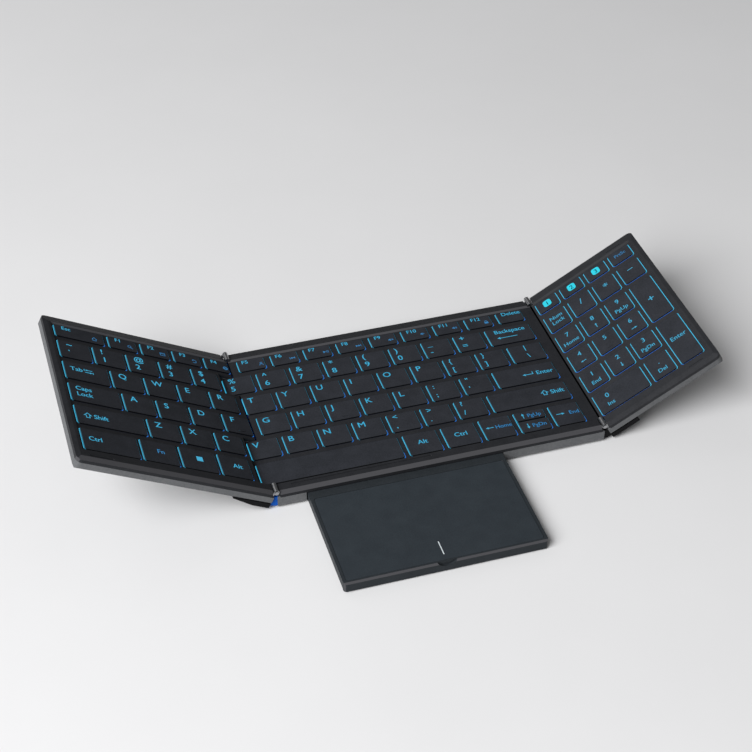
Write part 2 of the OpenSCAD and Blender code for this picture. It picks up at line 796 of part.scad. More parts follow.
module wing_shell(width, tilt) {
    inner = -wing_thick + wing_floor;
    foot = -wing_thick + base_bevel + past;
    color([0.46, 0.465, 0.475]) difference() {
        intersection() {
            translate([0, 0, -wing_thick]) linear_extrude(wing_thick - seam_drop) wing_outline(width, 0);
            along_x([-past, width + past]) shell_profile(wing_thick);
            along_y([-past, depth + past]) polygon([
                [-past, past], [-past, -wing_thick - past], [width - base_bevel - past, -wing_thick - past],
                [width + past, foot], [width + past, past]
            ]);
        }
        translate([0, 0, inner]) linear_extrude(wing_thick) difference() {
            wing_outline(width, wall);
            children(1);
        }
        translate([0, 0, -wing_thick - past]) linear_extrude(wing_thick + past) children(0);
        near_and_far() box(
            [-past, guard_radius * sin(tilt + guard_overlap) + 0.5],
            [guard_start - slot_clear, guard_start + guard_plate + slot_clear],
            [-wing_thick - past, past]
        );
    }
}

// Ribs on a wing's floor that carry the light guide
module wing_ribs(spots) {
    inner = -wing_thick + wing_floor;
    color([0.46, 0.465, 0.475])
        for (x = spots) box([x, x + rib], [stack_start + 2, stack_finish - 2], [inner - root, stack_under]);
}

module left_lower_shell() {
    in_left() {
        wing_shell(left_width, left_tilt) {
            notch_outline(0);
            notch_outline(fold_wall);
        }
        wing_ribs([left_width / 8, left_width / 2, left_width * 7 / 8]);
    }
}

module right_lower_shell() {
    in_right() {
        wing_shell(right_width, right_tilt) {
            square(0.01);
            square(0.01);
        }
        wing_ribs([right_width / 5, right_width * 4 / 5]);
    }
}

module fold_end_recess() {
    box([-past, fold_clear + guard_plate], [guard_start - 0.1, depth - guard_start + 0.1],
        [-guard_radius - 0.1, past]);
}

module centre_shell_blank() {
    difference() {
        intersection() {
            translate([fold_clear, 0, -centre_thick])
                cube([centre_width - 2 * fold_clear, depth, centre_thick - seam_drop]);
            along_x([0, centre_width]) shell_profile(centre_thick);
        }
        // the hollow of the shell, but for the walls of the drawer's bay
        difference() {
            box([fold_clear + guard_plate + bay_wall, centre_width - fold_clear - guard_plate - bay_wall],
                [wall, depth - wall], [inner_floor, past]);
            box([bay_start - bay_wall, bay_end + bay_wall], [0, bay_back + bay_wall],
                [-centre_thick, stack_under]);
        }
        box([bay_start, bay_end], [wall, bay_back], [bay_floor_top, past]);
        box([drawer_start - drawer_clear, drawer_end + drawer_clear], [-past, wall + past],
            [-centre_thick - past, past]);
        box([drawer_start - drawer_clear, drawer_end + drawer_clear], [-past, front_thick + 0.4],
            [-centre_thick - past, bay_floor_top + past]);
        fold_end_recess();
        translate([centre_width, 0, 0]) mirror([1, 0, 0]) fold_end_recess();
        // the key stack passes over the end wall into the tongues
        for (t = tongue_rows)
            box([-past, stack_inset + 0.4], [tongue_start(t), tongue_end(t)], [-tongue_drop - 0.05, past]);
        box([port_x - port_width / 2 - 0.15, port_x + port_width / 2 + 0.15],
            [depth - wall - past, depth + past],
            [board_top - 0.1, board_top + port_height + 0.1]);
    }
}

module centre_lower_shell() {
    color([0.46, 0.465, 0.475]) in_centre() difference() {
        union() {
            centre_shell_blank();
            screw_spots() translate([0, 0, inner_floor - root])
                cylinder(-seam_drop - inner_floor + root, r = boss_radius);
            // posts under the main board, and a rib that carries the right end of the key stack
            for (x = [board_start + 4, board_end - 4], y = [board_near + 8, depth / 2, board_far - 12])
                translate([x, y, inner_floor - root]) cylinder(board_posts + root, r = boss_radius - 0.6);
            box([board_end + 0.6, board_end + 0.6 + rib], [board_near, board_far - 4],
                [inner_floor - root, stack_under]);
        }
        screw_spots() translate([0, 0, -centre_thick - past])
            cylinder(centre_thick + 2 * past, r = screw_radius + shank_room);
        screw_spots() translate([0, 0, -centre_thick - past])
            cylinder(past + screw_head_height + screw_sink, r = screw_head_radius + head_room);
    }
}

// ---- Folds ----

// Knuckle spans along the barrel, counted from the near edge
function knuckle_span(k) =
    let (start = barrel_inset + sum(knuckle, k) + k * knuckle_gap) [start, start + knuckle[k]];

// A hinge leaf: knuckles on the fold axis, a web down and a plate under the frame
module leaf(knuckles, bore) {
    plate_low = leaf_top - leaf_thick;
    inner = barrel_radius - web_thick;
    first = knuckle_span(knuckles[0]);
    last = knuckle_span(knuckles[len(knuckles) - 1]);
    difference() {
        union() {
            for (k = knuckles) along_y(knuckle_span(k)) {
                circle(barrel_radius);
                translate([inner, plate_low]) square([web_thick, -plate_low]);
            }
            box([inner, barrel_radius], [first[0], last[1]], [plate_low, leaf_top]);
            box([barrel_radius - web_thick / 2, leaf_reach], [leaf_start, leaf_finish], [plate_low, leaf_top]);
        }
        along_y([0, barrel_end + past]) circle(bore);
    }
}

module steel() {
    color([0.78, 0.78, 0.8]) children();
}

module centre_fold_leaves() {
    steel() in_centre() {
        near_and_far() leaf([1], pin_radius);
        translate([centre_width, 0, 0]) mirror([1, 0, 0]) near_and_far() leaf([1], pin_radius);
    }
}

module wing_leaves() {
    steel() near_and_far() leaf([0, 2], pin_radius + pin_clear);
}

// A pin with a six-sided head
module fold_pin() {
    translate([0, barrel_inset - pin_proud, 0]) rotate([-90, 0, 0]) {
        cylinder(barrel_length + pin_proud, r = pin_radius);
        cylinder(pin_head, r = pin_head_radius, $fn = 6);
    }
}

module fold_pins() {
    steel() in_centre() for (x = [0, centre_width]) translate([x, 0, 0]) near_and_far() fold_pin();
}

// A curved guard behind a fold: a flange on the centre's end, a sheet round the fold axis and
// an end plate at each end. It slides into the wing's hinge cover as the wing opens flat.
module spine_guard(tilt) {
    sweep = tilt + guard_overlap;
    length = depth - 2 * guard_start;
    tie = 4; // degrees by which the sheet runs into the flange
    flange = [fold_clear, fold_clear + guard_plate];
    box(flange, [guard_start, guard_start + length], [-guard_radius, guard_top]);
    translate([0, guard_start + length, 0]) rotate([90, 0, 0])
        rotate_extrude(angle = sweep + tie, start = 270 - sweep, $fn = 96)
            translate([guard_radius - guard_thick, 0]) square([guard_thick, length]);
    near_and_far() along_y([guard_start, guard_start + guard_plate]) intersection() {
        difference() {
            circle(guard_radius, $fn = 96);
            circle(guard_window);
        }
        polygon([[0, 0], 2 * guard_radius * [-sin(sweep), -cos(sweep)], [0, -2 * guard_radius],
            [flange[1] - 0.2, -2 * guard_radius], [flange[1] - 0.2, 0]]);
    }
}

module left_spine_guard() {
    color([0.06, 0.34, 0.72]) in_centre() spine_guard(left_tilt);
}

module right_spine_guard() {
    color([0.03, 0.03, 0.035]) in_centre()
        translate([centre_width, 0, 0]) mirror([1, 0, 0]) spine_guard(right_tilt);
}

// The cover under a wing beside the fold, open towards its shell and the fold
module hinge_cover(reach, rise) {
    low = cover_under;
    color([0.03, 0.03, 0.035]) difference() {
        along_y([0, depth]) polygon([
            [fold_clear, -wing_thick], [fold_clear, low], [reach * cover_flat, low],
            [reach, low + rise], [reach, -wing_thick]
        ]);
        along_y([cover_margin, depth - cover_margin]) polygon([
            [-past, -wing_thick + past], [-past, low + cover_wall], [reach * cover_flat, low + cover_wall],
            [reach - cover_margin, low + rise + cover_wall], [reach - cover_margin, -wing_thick + past]
        ]);
    }
}

module left_hinge_cover() {
    in_left() hinge_cover(left_cover_reach, cover_rise);
}

module right_hinge_cover() {
    in_right() hinge_cover(right_cover_reach, 0);
}

// ---- Touchpad drawer ----

// The drawer seen from above, its front corners rounded
module drawer_outline() {
    polygon(rounded(drawer_start, drawer_front, drawer_end, drawer_back, drawer_corner));
    translate([drawer_start, drawer_front + drawer_corner])
        square([drawer_width, drawer_back - drawer_front - drawer_corner]);
}

module touchpad_tray() {
    inner = tray_under + tray_floor;
    color([0.2, 0.215, 0.23]) in_centre() difference() {
        union() {
            translate([0, 0, tray_under]) linear_extrude(lid_under - tray_under) drawer_outline();
            // the front reaches down over the bay's floor
            translate([0, 0, -centre_thick]) linear_extrude(lid_under + centre_thick) intersection() {
                drawer_outline();
                translate([drawer_start, drawer_front]) square([drawer_width, front_thick]);
            }
            // runners at the end that stays in the rails
            box([drawer_start - runner_reach, drawer_end + runner_reach], [wall + 0.3, drawer_back],
                [runner_z, runner_z + runner_height]);
        }
        difference() {
            box([drawer_start + tray_wall, drawer_end - tray_wall],
                [drawer_front + front_thick, drawer_back - tray_wall], [inner, past]);
            // ledges under the touch board, and a post under its switch
            box([drawer_start, drawer_start + pad_ledge], [pad_front, pad_back], [inner - past, pad_seat]);
            box([drawer_end - pad_ledge, drawer_end], [pad_front, pad_back], [inner - past, pad_seat]);
            translate([(drawer_start + drawer_end) / 2, switch_y, inner - past])
                cylinder(past + switch_post, r = 4);
        }
        thumb_scoop();
        front_bevel();
    }
}

// A round-bottomed hollow in the middle of the drawer's front edge
module thumb_scoop() {
    r = (pow(scoop_width / 2, 2) + pow(scoop_depth, 2)) / (2 * scoop_depth);
    x = (drawer_start + drawer_end) / 2;
    along_y([drawer_front - past, drawer_front + scoop_depth_in])
        translate([x, drawer_top - scoop_depth + r]) circle(r);
}

// Bevel along the drawer's upper front edge
module front_bevel() {
    along_x([drawer_start - past, drawer_end + past]) polygon([
        [drawer_front - past, drawer_top - front_chamfer - past], [drawer_front - past, drawer_top + past],
        [drawer_front + front_chamfer + past, drawer_top + past]
    ]);
}

module touchpad_lid() {
    color([0.2, 0.215, 0.23]) in_centre() difference() {
        translate([0, 0, lid_under]) linear_extrude(drawer_top - lid_under) drawer_outline();
        translate([0, 0, lid_under - past]) linear_extrude(drawer_top - lid_under + 2 * past)
            polygon(rounded(pad_start_x, pad_front, pad_end_x, pad_back, pad_corner));
        thumb_scoop();
        front_bevel();
    }
}

module touchpad_surface() {
    color([0.205, 0.225, 0.245]) in_centre() translate([0, 0, pad_top - pad_thick]) linear_extrude(pad_thick)
        polygon(rounded(pad_start_x + pad_clear, pad_front + pad_clear, pad_end_x - pad_clear,
            pad_back - pad_clear, pad_corner - pad_clear));
}

module touchpad_board() {
    color([0.05, 0.28, 0.16]) in_centre()
        box([pad_start_x + 0.6, pad_end_x - 0.6], [pad_front + 2.4, pad_back - 1.2],
            [pad_board_top - pad_board_thick, pad_board_top]);
}

module touchpad_switch() {
    low = tray_under + tray_floor + switch_post;
    high = pad_seat;
    color([0.75, 0.75, 0.72]) in_centre()
        translate([(drawer_start + drawer_end) / 2, switch_y, low]) {
            translate([-2.5, -2.5, 0]) cube([5, 5, (high - low) * 0.7]);
            cylinder(high - low, r = 1.3);
        }
}

// Steel channels on both sides of the bay
module touchpad_rails() {
    low = runner_z - runner_clear;
    high = runner_z + runner_height + runner_clear;
    mouth = drawer_start - drawer_clear;
    steel() in_centre() for (side = [0, 1])
        translate([side * (drawer_start + drawer_end), 0, 0]) mirror([side, 0, 0])
            along_y([wall + 0.1, bay_back - 0.1]) {
                translate([bay_start, low - rail_thick]) square([rail_thick, high - low + 2 * rail_thick]);
                translate([bay_start, low - rail_thick]) square([mouth - bay_start, rail_thick]);
                translate([bay_start, high]) square([mouth - bay_start, rail_thick]);
            }
}

// ---- Electronics, feet and screws ----

// A part on the main board: its middle as shares of the board, and its size
module board_part(across, along, size) {
    x = board_start + across * board_width;
    y = board_near + along * (board_far - board_near);
    translate([x - size[0] / 2, y - size[1] / 2, board_top]) cube(size);
}

module main_board() {
    in_centre() {
        color([0.03, 0.25, 0.14])
            box([board_start, board_end], [board_near, board_far], [board_under, board_top]);
        color([0.08, 0.08, 0.09]) {
            board_part(0.27, 0.33, [9, 9, 1]);
            board_part(0.55, 0.52, [6, 6, 0.9]);
            board_part(0.24, 0.69, [6, 4, 1.2]);
        }
        color([0.75, 0.75, 0.76]) board_part(0.6, 0.13, [14, 14, 1.6]);
    }
}

module battery() {
    color([0.7, 0.71, 0.73]) in_centre()
        translate([0, 0, inner_floor]) linear_extrude(battery_thick) polygon(rounded(
            bay_start + 8, bay_back + bay_wall + 1,
            bay_start + 8 + battery_length, bay_back + bay_wall + 1 + battery_width, 2));
}

// The socket's metal shell with its inner tongue, open at the back edge
module charge_port() {
    low = board_top;
    half = port_width / 2;
    steel() in_centre() difference() {
        translate([0, 0, low]) box([port_x - half, port_x + half], [depth - 0.3 - port_length, depth - 0.3],
            [0, port_height]);
        difference() {
            box([port_x - half + 0.4, port_x + half - 0.4], [depth - port_length + 0.5, depth],
                [low + 0.4, low + port_height - 0.4]);
            box([port_x - half + 1.4, port_x + half - 1.4], [depth - port_length, depth - 1.5],
                [low + port_height / 2 - 0.35, low + port_height / 2 + 0.35]);
        }
    }
}

module rubber() {
    color([0.05, 0.05, 0.055]) children();
}

module foot_pad(x, y, length, top, height) {
    rubber() translate([0, 0, top - height]) linear_extrude(height)
        polygon(rounded(x - length / 2, y - foot_width / 2, x + length / 2, y + foot_width / 2,
            foot_width / 2 - 0.1));
}

module centre_feet() {
    in_centre() {
        foot_pad(centre_width / 2, rear_foot_y, rear_foot_length, -centre_thick, foot_height);
        for (x = [front_foot_length, centre_width - front_foot_length])
            foot_pad(x, near_margin + 4, front_foot_length, -centre_thick, foot_height);
    }
}

// Tall pads that hold a wing level when it lies flat
module wing_feet(width) {
    x = width - base_bevel - 8;
    rubber() for (y = [depth * 0.2, depth * 0.8])
        translate([0, 0, -rim_height]) linear_extrude(rim_height - wing_thick)
            polygon(rounded(x - foot_width / 2, y - wing_foot_length / 2,
                x + foot_width / 2, y + wing_foot_length / 2, foot_width / 2 - 0.1));
}

module case_screws() {
    low = -centre_thick + screw_sink;
    slot = [screw_head_radius * 1.2, 0.4, past + screw_head_height / 2];
    steel() in_centre() screw_spots() difference() {
        translate([0, 0, low]) {
            cylinder(screw_head_height, r = screw_head_radius);
            cylinder(deck_under - screw_sink - low, r = screw_radius - pin_clear);
        }
        for (turn = [0, 90]) rotate([0, 0, turn])
            translate([-slot[0] / 2, -slot[1] / 2, low - past]) cube(slot);
    }
}

// ---- Placing the panels ----

module in_centre() {
    translate([-centre_width / 2, -rear_foot_y, rim_height]) children();
}

module in_left() {
    in_centre() rotate([0, left_tilt, 0]) mirror([1, 0, 0]) children();
}

module in_right() {
    in_centre() translate([centre_width, 0, 0]) rotate([0, -right_tilt, 0]) children();
}

centre_lower_shell();
centre_top_frame();
in_centre() support_plate() centre_sheet_outline();  // centre_support_plate
in_centre() membrane() centre_sheet_outline();  // centre_membrane
centre_dome_sheet();
in_centre() light_guide() centre_sheet_outline();  // centre_light_guide
main_board();
battery();
charge_port();
touchpad_rails();
centre_feet();
case_screws();
centre_fold_leaves();
fold_pins();
left_spine_guard();
right_spine_guard();
touchpad_tray();
touchpad_lid();
touchpad_switch();
touchpad_surface();
touchpad_board();
left_lower_shell();
left_top_frame();
in_left() support_plate() left_sheet_outline();  // left_support_plate
in_left() membrane() left_sheet_outline();  // left_membrane
left_dome_sheet();
in_left() light_guide() left_sheet_outline();  // left_light_guide
left_hinge_cover();
in_left() wing_leaves();  // left_fold_leaves
in_left() wing_feet(left_width);  // left_feet
right_lower_shell();
right_top_frame();
in_right() support_plate() right_sheet_outline();  // right_support_plate
in_right() membrane() right_sheet_outline();  // right_membrane
right_dome_sheet();
in_right() light_guide() right_sheet_outline();  // right_light_guide
right_hinge_cover();
in_right() wing_leaves();  // right_fold_leaves
in_right() wing_feet(right_width);  // right_feet
in_left() key_row(left_caps(SPACE), SPACE);  // left_keys_space_row
in_left() key_row(left_caps(LOWER), LOWER);  // left_keys_lower_row
in_left() key_row(left_caps(HOME), HOME);  // left_keys_home_row
in_left() key_row(left_caps(UPPER), UPPER);  // left_keys_upper_row
in_left() key_row(left_caps(NUMBER), NUMBER);  // left_keys_number_row
in_left() key_row(left_caps(FUNCTION), FUNCTION);  // left_keys_function_row
space_bar();
centre_space_row();  // centre_keys_space_row
in_centre() key_row(centre_caps(LOWER), LOWER);  // centre_keys_lower_row
in_centre() key_row(centre_caps(HOME), HOME);  // centre_keys_home_row
in_centre() key_row(centre_caps(UPPER), UPPER);  // centre_keys_upper_row
in_centre() key_row(centre_caps(NUMBER), NUMBER);  // centre_keys_number_row
in_centre() key_row(centre_caps(FUNCTION), FUNCTION);  // centre_keys_function_row
in_right() key_row(pad_caps(SPACE), SPACE);  // right_keys_zero_row
in_right() key_row(pad_caps(LOWER), LOWER);  // right_keys_low_row
in_right() key_row(pad_caps(HOME), HOME);  // right_keys_middle_row
in_right() key_row(pad_caps(UPPER), UPPER);  // right_keys_high_row
in_right() key_row(pad_caps(NUMBER), NUMBER);  // right_keys_lock_row
in_right() key_row(pad_caps(FUNCTION), FUNCTION);  // right_keys_icon_row
tall_keys();  // right_tall_keys
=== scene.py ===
"""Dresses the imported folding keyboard: materials, backlight, legends, studio and camera.

Panel frames are used throughout. In each one x runs from left to right along the panel, y from
the near edge to the back, and z = 0 is the height of the fold axes. Lengths are millimetres
until they are placed, and metres afterwards.
"""

import math

import bmesh
import bpy
from mathutils import Matrix, Vector

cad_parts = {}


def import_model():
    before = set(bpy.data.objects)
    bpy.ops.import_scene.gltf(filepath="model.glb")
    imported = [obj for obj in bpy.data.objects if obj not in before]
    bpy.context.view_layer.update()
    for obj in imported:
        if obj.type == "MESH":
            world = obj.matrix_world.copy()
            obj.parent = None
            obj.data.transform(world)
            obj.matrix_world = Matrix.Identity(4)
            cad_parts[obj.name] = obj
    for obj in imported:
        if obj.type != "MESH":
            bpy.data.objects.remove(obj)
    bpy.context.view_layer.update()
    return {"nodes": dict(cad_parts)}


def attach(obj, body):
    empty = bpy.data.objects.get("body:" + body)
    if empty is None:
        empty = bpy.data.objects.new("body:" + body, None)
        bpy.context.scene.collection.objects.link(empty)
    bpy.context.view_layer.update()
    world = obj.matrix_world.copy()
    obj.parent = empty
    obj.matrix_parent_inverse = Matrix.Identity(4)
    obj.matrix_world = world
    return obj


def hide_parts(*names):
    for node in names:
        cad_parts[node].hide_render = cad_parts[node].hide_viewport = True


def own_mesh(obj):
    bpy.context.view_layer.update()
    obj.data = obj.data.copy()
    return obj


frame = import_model()
nodes = frame["nodes"]

MM = 0.001

# ---- Sizes shared with the part's source, in millimetres ----

KEY_PITCH = 18.9
CAP_GAP = 2.95
TOP_CAP_GAP = 3.9
LEFT_STRIP_SHIFT = 0.45
LEFT_STRIP_LESS = 1.15
ROW_GAP = 3.6
CAP_DEPTH = 14.4
TOP_CAP_DEPTH = 9.6
BOTTOM_CAP_DEPTH = 16.3
CAP_CORNER = 1.0
CAP_CLEAR = 0.35
CAP_TOP = -0.4
CAP_RIM = -1.5
ESC_WIDTH = 25.75
PAGE_SPLIT = 0.565
PAGE_GAP = 0.7
NEAR_MARGIN = 8.45
LEFT_END_MARGIN = 5.35
RIGHT_END_MARGIN = 5.65
CENTRE_END_MARGIN = 7.15
PAD_START = 2.15
FOLD_CLEAR = 0.3
CENTRE_THICK = 9.0
FOOT_HEIGHT = 0.8
REAR_FOOT_Y = 107.0
LEFT_TILT = 27.5
RIGHT_TILT = 30.5
PAD_TOP = -3.53

ROWS = range(6)
SPACE, LOWER, HOME, UPPER, NUMBER, FUNCTION = ROWS
ROW_NAMES = ["space_row", "lower_row", "home_row", "upper_row", "number_row", "function_row"]
PAD_ROW_NAMES = ["zero_row", "low_row", "middle_row", "high_row", "lock_row", "icon_row"]

# First cap's start from the fold line and key widths in pitches; 0 fills the row
LEFT_ROWS = [
    (10.3, [1.1, 1.14, 1.12, 0]),
    (9.45, [1, 1, 1, 0]),
    (0.5, [1, 1, 1, 1, 0]),
    (3.6, [1, 1, 1, 1, 0]),
    (10.3, [1, 1, 1, 1, 0]),
    (0.5, [1, 1, 1, 1, 0]),
]
CENTRE_ROWS = [
    (-5.2, [4.16, 1.11, 1.11, 1.04, 1.04, 0]),
    (-5.6, [1] * 7 + [0]),
    (3.85, [1] * 7 + [0]),
    (0.35, [1] * 8 + [0]),
    (-6.5, [1] * 8 + [0]),
    (4.65, [1] * 8 + [0]),
]
# Key widths in the keypad's own pitch
PAD_ROWS = [[2, 1], [1, 1, 1], [1, 1, 1], [1, 1, 1], [1, 1, 1, 1], [1, 1, 1, 1]]
# Place of the page key in the centre's nearest row
PAGE_KEY = 4
CENTRE_TOP_KEYS = 9
# Keys of the left wing's top row besides the wide Esc key
LEFT_TOP_KEYS = 4
PAD_COLUMNS = 4


def row_start(row):
    if row == SPACE:
        return NEAR_MARGIN
    return NEAR_MARGIN + BOTTOM_CAP_DEPTH + ROW_GAP + (row - 1) * (CAP_DEPTH + ROW_GAP)


def row_end(row):
    depths = {SPACE: BOTTOM_CAP_DEPTH, FUNCTION: TOP_CAP_DEPTH}
    return row_start(row) + depths.get(row, CAP_DEPTH)


CENTRE_FIELD_END = CENTRE_ROWS[FUNCTION][0] + CENTRE_TOP_KEYS * KEY_PITCH - TOP_CAP_GAP
CENTRE_WIDTH = CENTRE_FIELD_END + CENTRE_END_MARGIN
LEFT_FIELD_END = LEFT_ROWS[FUNCTION][0] + LEFT_TOP_KEYS * KEY_PITCH + ESC_WIDTH
LEFT_WIDTH = LEFT_FIELD_END + LEFT_END_MARGIN
RIGHT_WIDTH = CENTRE_WIDTH - LEFT_WIDTH - FOLD_CLEAR
PAD_FIELD_END = RIGHT_WIDTH - RIGHT_END_MARGIN
PAD_PITCH = (PAD_FIELD_END - PAD_START + CAP_GAP) / PAD_COLUMNS


def spans(rows, row, field_end, shift=0, less=0):
    """The caps of a row as (start, end), counted from the fold line.

    Between two caps, shift moves the edges towards the fold line and less narrows the gap.
    """
    start, widths = rows[row]
    gap = TOP_CAP_GAP if row == FUNCTION else CAP_GAP
    found = []
    for width in widths:
        end = start + width * KEY_PITCH - gap - shift if width else field_end
        found.append((start - (shift + less if found else 0), end))
        start += width * KEY_PITCH
    return found


def left_caps(row):
    """The left wing's caps from left to right; the fold line is at x = 0."""
    found = spans(LEFT_ROWS, row, LEFT_FIELD_END, LEFT_STRIP_SHIFT, LEFT_STRIP_LESS)
    return [(-end, -start) for start, end in reversed(found)]


def centre_caps(row):
    return spans(CENTRE_ROWS, row, CENTRE_FIELD_END)


def pad_caps(row):
    """The keypad's caps; the tall caps at its right edge are left out."""
    found = []
    start = PAD_START
    for width in PAD_ROWS[row]:
        found.append((start, start + width * PAD_PITCH - CAP_GAP))
        start += width * PAD_PITCH
    return found


def middle(cap):
    return (cap[0] + cap[1]) / 2


TALL_CAP = (PAD_START + (PAD_COLUMNS - 1) * PAD_PITCH, PAD_FIELD_END)
PAGE_LINE = row_start(SPACE) + PAGE_SPLIT * BOTTOM_CAP_DEPTH


class Panel:
    """One panel's body, and its place and upward direction in the row frame."""

    def __init__(self, name, body, tilt, fold_x):
        self.name = name
        self.body = body
        origin = Vector((fold_x, -REAR_FOOT_Y, CENTRE_THICK + FOOT_HEIGHT)) * MM
        self.matrix = Matrix.Translation(origin) @ Matrix.Rotation(math.radians(tilt), 4, "Y")
        self.up = (self.matrix.to_3x3() @ Vector((0, 0, 1))).normalized()
        self.pivot = self.up.dot(origin)


LEFT = Panel("left", "left_wing", LEFT_TILT, -CENTRE_WIDTH / 2)
CENTRE = Panel("centre", "centre_panel", 0, -CENTRE_WIDTH / 2)
RIGHT = Panel("right", "right_wing", -RIGHT_TILT, CENTRE_WIDTH / 2)
PANELS = [LEFT, CENTRE, RIGHT]


def row_node(panel, row):
    """The node that holds a row's keys."""
    row_names = PAD_ROW_NAMES if panel is RIGHT else ROW_NAMES
    return f"{panel.name}_keys_{row_names[row]}"


# ---- Materials ----

GLOSS = 0.08
NOISE_ROUGH = 0.6
# Share of the fine noise in the grain, how much coarser the broad noise is, and the values of the
# mixed noise at which the dark and the light colour are reached
FINE_SHARE = 0.65
BROAD_STEP = 14
GRAIN_STOPS = (0.32, 0.68)
GRAIN_DEPTH = 0.05 * MM
PLASTIC_GRAIN = [1500] * 3
PLASTIC_ROUGH = (0.4, 0.5)
# Unevenness of a lit surface: its scale per metre and its share of the strength
GLOW_PATCHES = [180] * 3
GLOW_SPREAD = 0.2
GLOW_ROUGH = 0.5
UNLIT = "#10161c"
# Places of the colour sockets on a mix node
MIX_FIRST, MIX_SECOND, MIX_RESULT = 6, 7, 2
# Painted highlight on the frame bevels that face the user, lighter than the plastic
BEVEL_PAINTED_HIGHLIGHT = "#47474a"
KEY_DARK = "#24262a"
KEY_LIGHT = "#34363c"
# Painted shade, near black, on the cap faces that turn towards the user
KEY_PAINTED_SHADE = "#08090b"
KEY_ROUGH = (0.5, 0.68)
# Least and most turn towards the user, as a cosine, of the faces that get the painted highlight (frame
# bevels) and the painted shade (caps)
BEVEL_TURNS = (0.2, 0.9)
KEY_PAINTED_SHADE_TURNS = (0.4, 2)
GLOW_BRIGHT = "#3cb3da"
# Faint glow of the painted shade in the front gaps
GLOW_DIM = "#1d62c4"
GLOW_PAINTED_SHADE = "#0c1838"
LEGEND_BRIGHT = "#3ca6cc"
LEGEND_DIM = "#3080b8"
ICON_LIGHT = "#18cade"
# Strength of the glow painted on a cap's walls, and its share at the cap's top
WALL_LEFT = 0.45
WALL_RIGHT = 0.5
WALL_BACK = 0.5
WALL_FADE = 0.6
# Turn, as a cosine, from which a wall counts as a side wall or a back wall
SIDE_TURN = 0.5
BACK_TURN = 0.8
# Copper runs of the boards: scale per metre, bend, and where in the wave they begin and are full
COPPER_SCALE = [160, 40, 160]
COPPER_BEND = 3
COPPER_STOPS = (0.86, 0.9)
SILVER_SCALE = [60] * 3
SILVER_WIDTH = 0.02


def linear(code):
    """A colour written as a web code, in linear light."""
    parts = [int(code[i : i + 2], 16) / 255 for i in (1, 3, 5)]
    return [p / 12.92 if p <= 0.04045 else ((p + 0.055) / 1.055) ** 2.4 for p in parts] + [1]


class Nodes:
    """Short names for building a material's nodes."""

    def __init__(self, name):
        self.material = bpy.data.materials.new(name)
        self.material.use_nodes = True
        self.tree = self.material.node_tree
        self.shader = self.tree.nodes["Principled BSDF"]
        self.place = self.add("ShaderNodeTexCoord")

    def add(self, kind, **values):
        node = self.tree.nodes.new(kind)
        for key, value in values.items():
            setattr(node, key, value)
        return node

    def link(self, source, target):
        self.tree.links.new(source, target)

    def scaled(self, scale):
        """Object coordinates stretched by a scale for each axis, per metre."""
        mapping = self.add("ShaderNodeMapping")
        mapping.inputs["Scale"].default_value = scale
        self.link(self.place.outputs["Object"], mapping.inputs["Vector"])
        return mapping.outputs["Vector"]

    def noise(self, scale, detail=4):
        node = self.add("ShaderNodeTexNoise")
        node.inputs["Scale"].default_value = 1
        node.inputs["Detail"].default_value = detail
        node.inputs["Roughness"].default_value = NOISE_ROUGH
        self.link(self.scaled(scale), node.inputs["Vector"])
        return node.outputs["Fac"]

    def ramp(self, value, start, dark, end, light):
        """Maps a value to a colour between dark at start and light at end."""
        node = self.add("ShaderNodeValToRGB")
        for point, where, code in zip(node.color_ramp.elements, (start, end), (dark, light)):
            point.position = where
            point.color = linear(code)
        self.link(value, node.inputs["Fac"])
        return node.outputs["Color"]

    def span(self, value, low, high, start=0, end=1):
        """Maps start..end to low..high."""
        node = self.add("ShaderNodeMapRange")
        node.inputs["From Min"].default_value = start
        node.inputs["From Max"].default_value = end
        node.inputs["To Min"].default_value = low
        node.inputs["To Max"].default_value = high
        self.link(value, node.inputs["Value"])
        return node.outputs["Result"]

    def maths(self, operation, a, b):
        node = self.add("ShaderNodeMath", operation=operation)
        for socket, value in zip(node.inputs, (a, b)):
            if isinstance(value, (int, float)):
                socket.default_value = value
            else:
                self.link(value, socket)
        return node.outputs["Value"]

    def dot(self, vector, direction):
        node = self.add("ShaderNodeVectorMath", operation="DOT_PRODUCT")
        node.inputs[1].default_value = direction
        self.link(self.place.outputs[vector], node.inputs[0])
        return node.outputs["Value"]

    def bump(self, height, strength, distance):
        node = self.add("ShaderNodeBump")
        node.inputs["Strength"].default_value = strength
        node.inputs["Distance"].default_value = distance
        self.link(height, node.inputs["Height"])
        self.link(node.outputs["Normal"], self.shader.inputs["Normal"])


def grained(name, dark, light, grain, rough, bump=0.12, metallic=0.0, coat=0.0):
    """A surface with fine grain: grain is its scale per metre, for each axis."""
    made = Nodes(name)
    shader = made.shader.inputs
    shader["Specular IOR Level"].default_value = GLOSS
    shader["Metallic"].default_value = metallic
    shader["Coat Weight"].default_value = coat
    fine = made.noise(grain)
    broad = made.noise([g / BROAD_STEP for g in grain], detail=2)
    fine_part = made.maths("MULTIPLY", fine, FINE_SHARE)
    broad_part = made.maths("MULTIPLY", broad, 1 - FINE_SHARE)
    mixed = made.maths("ADD", fine_part, broad_part)
    made.link(made.ramp(mixed, GRAIN_STOPS[0], dark, GRAIN_STOPS[1], light), shader["Base Color"])
    made.link(made.span(fine, rough[0], rough[1]), shader["Roughness"])
    made.bump(fine, bump, GRAIN_DEPTH)
    return made


def glowing(name, code, strength, base=UNLIT):
    """A lit surface with faint unevenness, as light through a printed film has."""
    made = Nodes(name)
    shader = made.shader.inputs
    shader["Base Color"].default_value = linear(base)
    shader["Roughness"].default_value = GLOW_ROUGH
    shader["Emission Color"].default_value = linear(code)
    patches = made.noise(GLOW_PATCHES, detail=2)
    least, most = strength * (1 - GLOW_SPREAD), strength * (1 + GLOW_SPREAD)
    made.link(made.span(patches, least, most), shader["Emission Strength"])
    return made


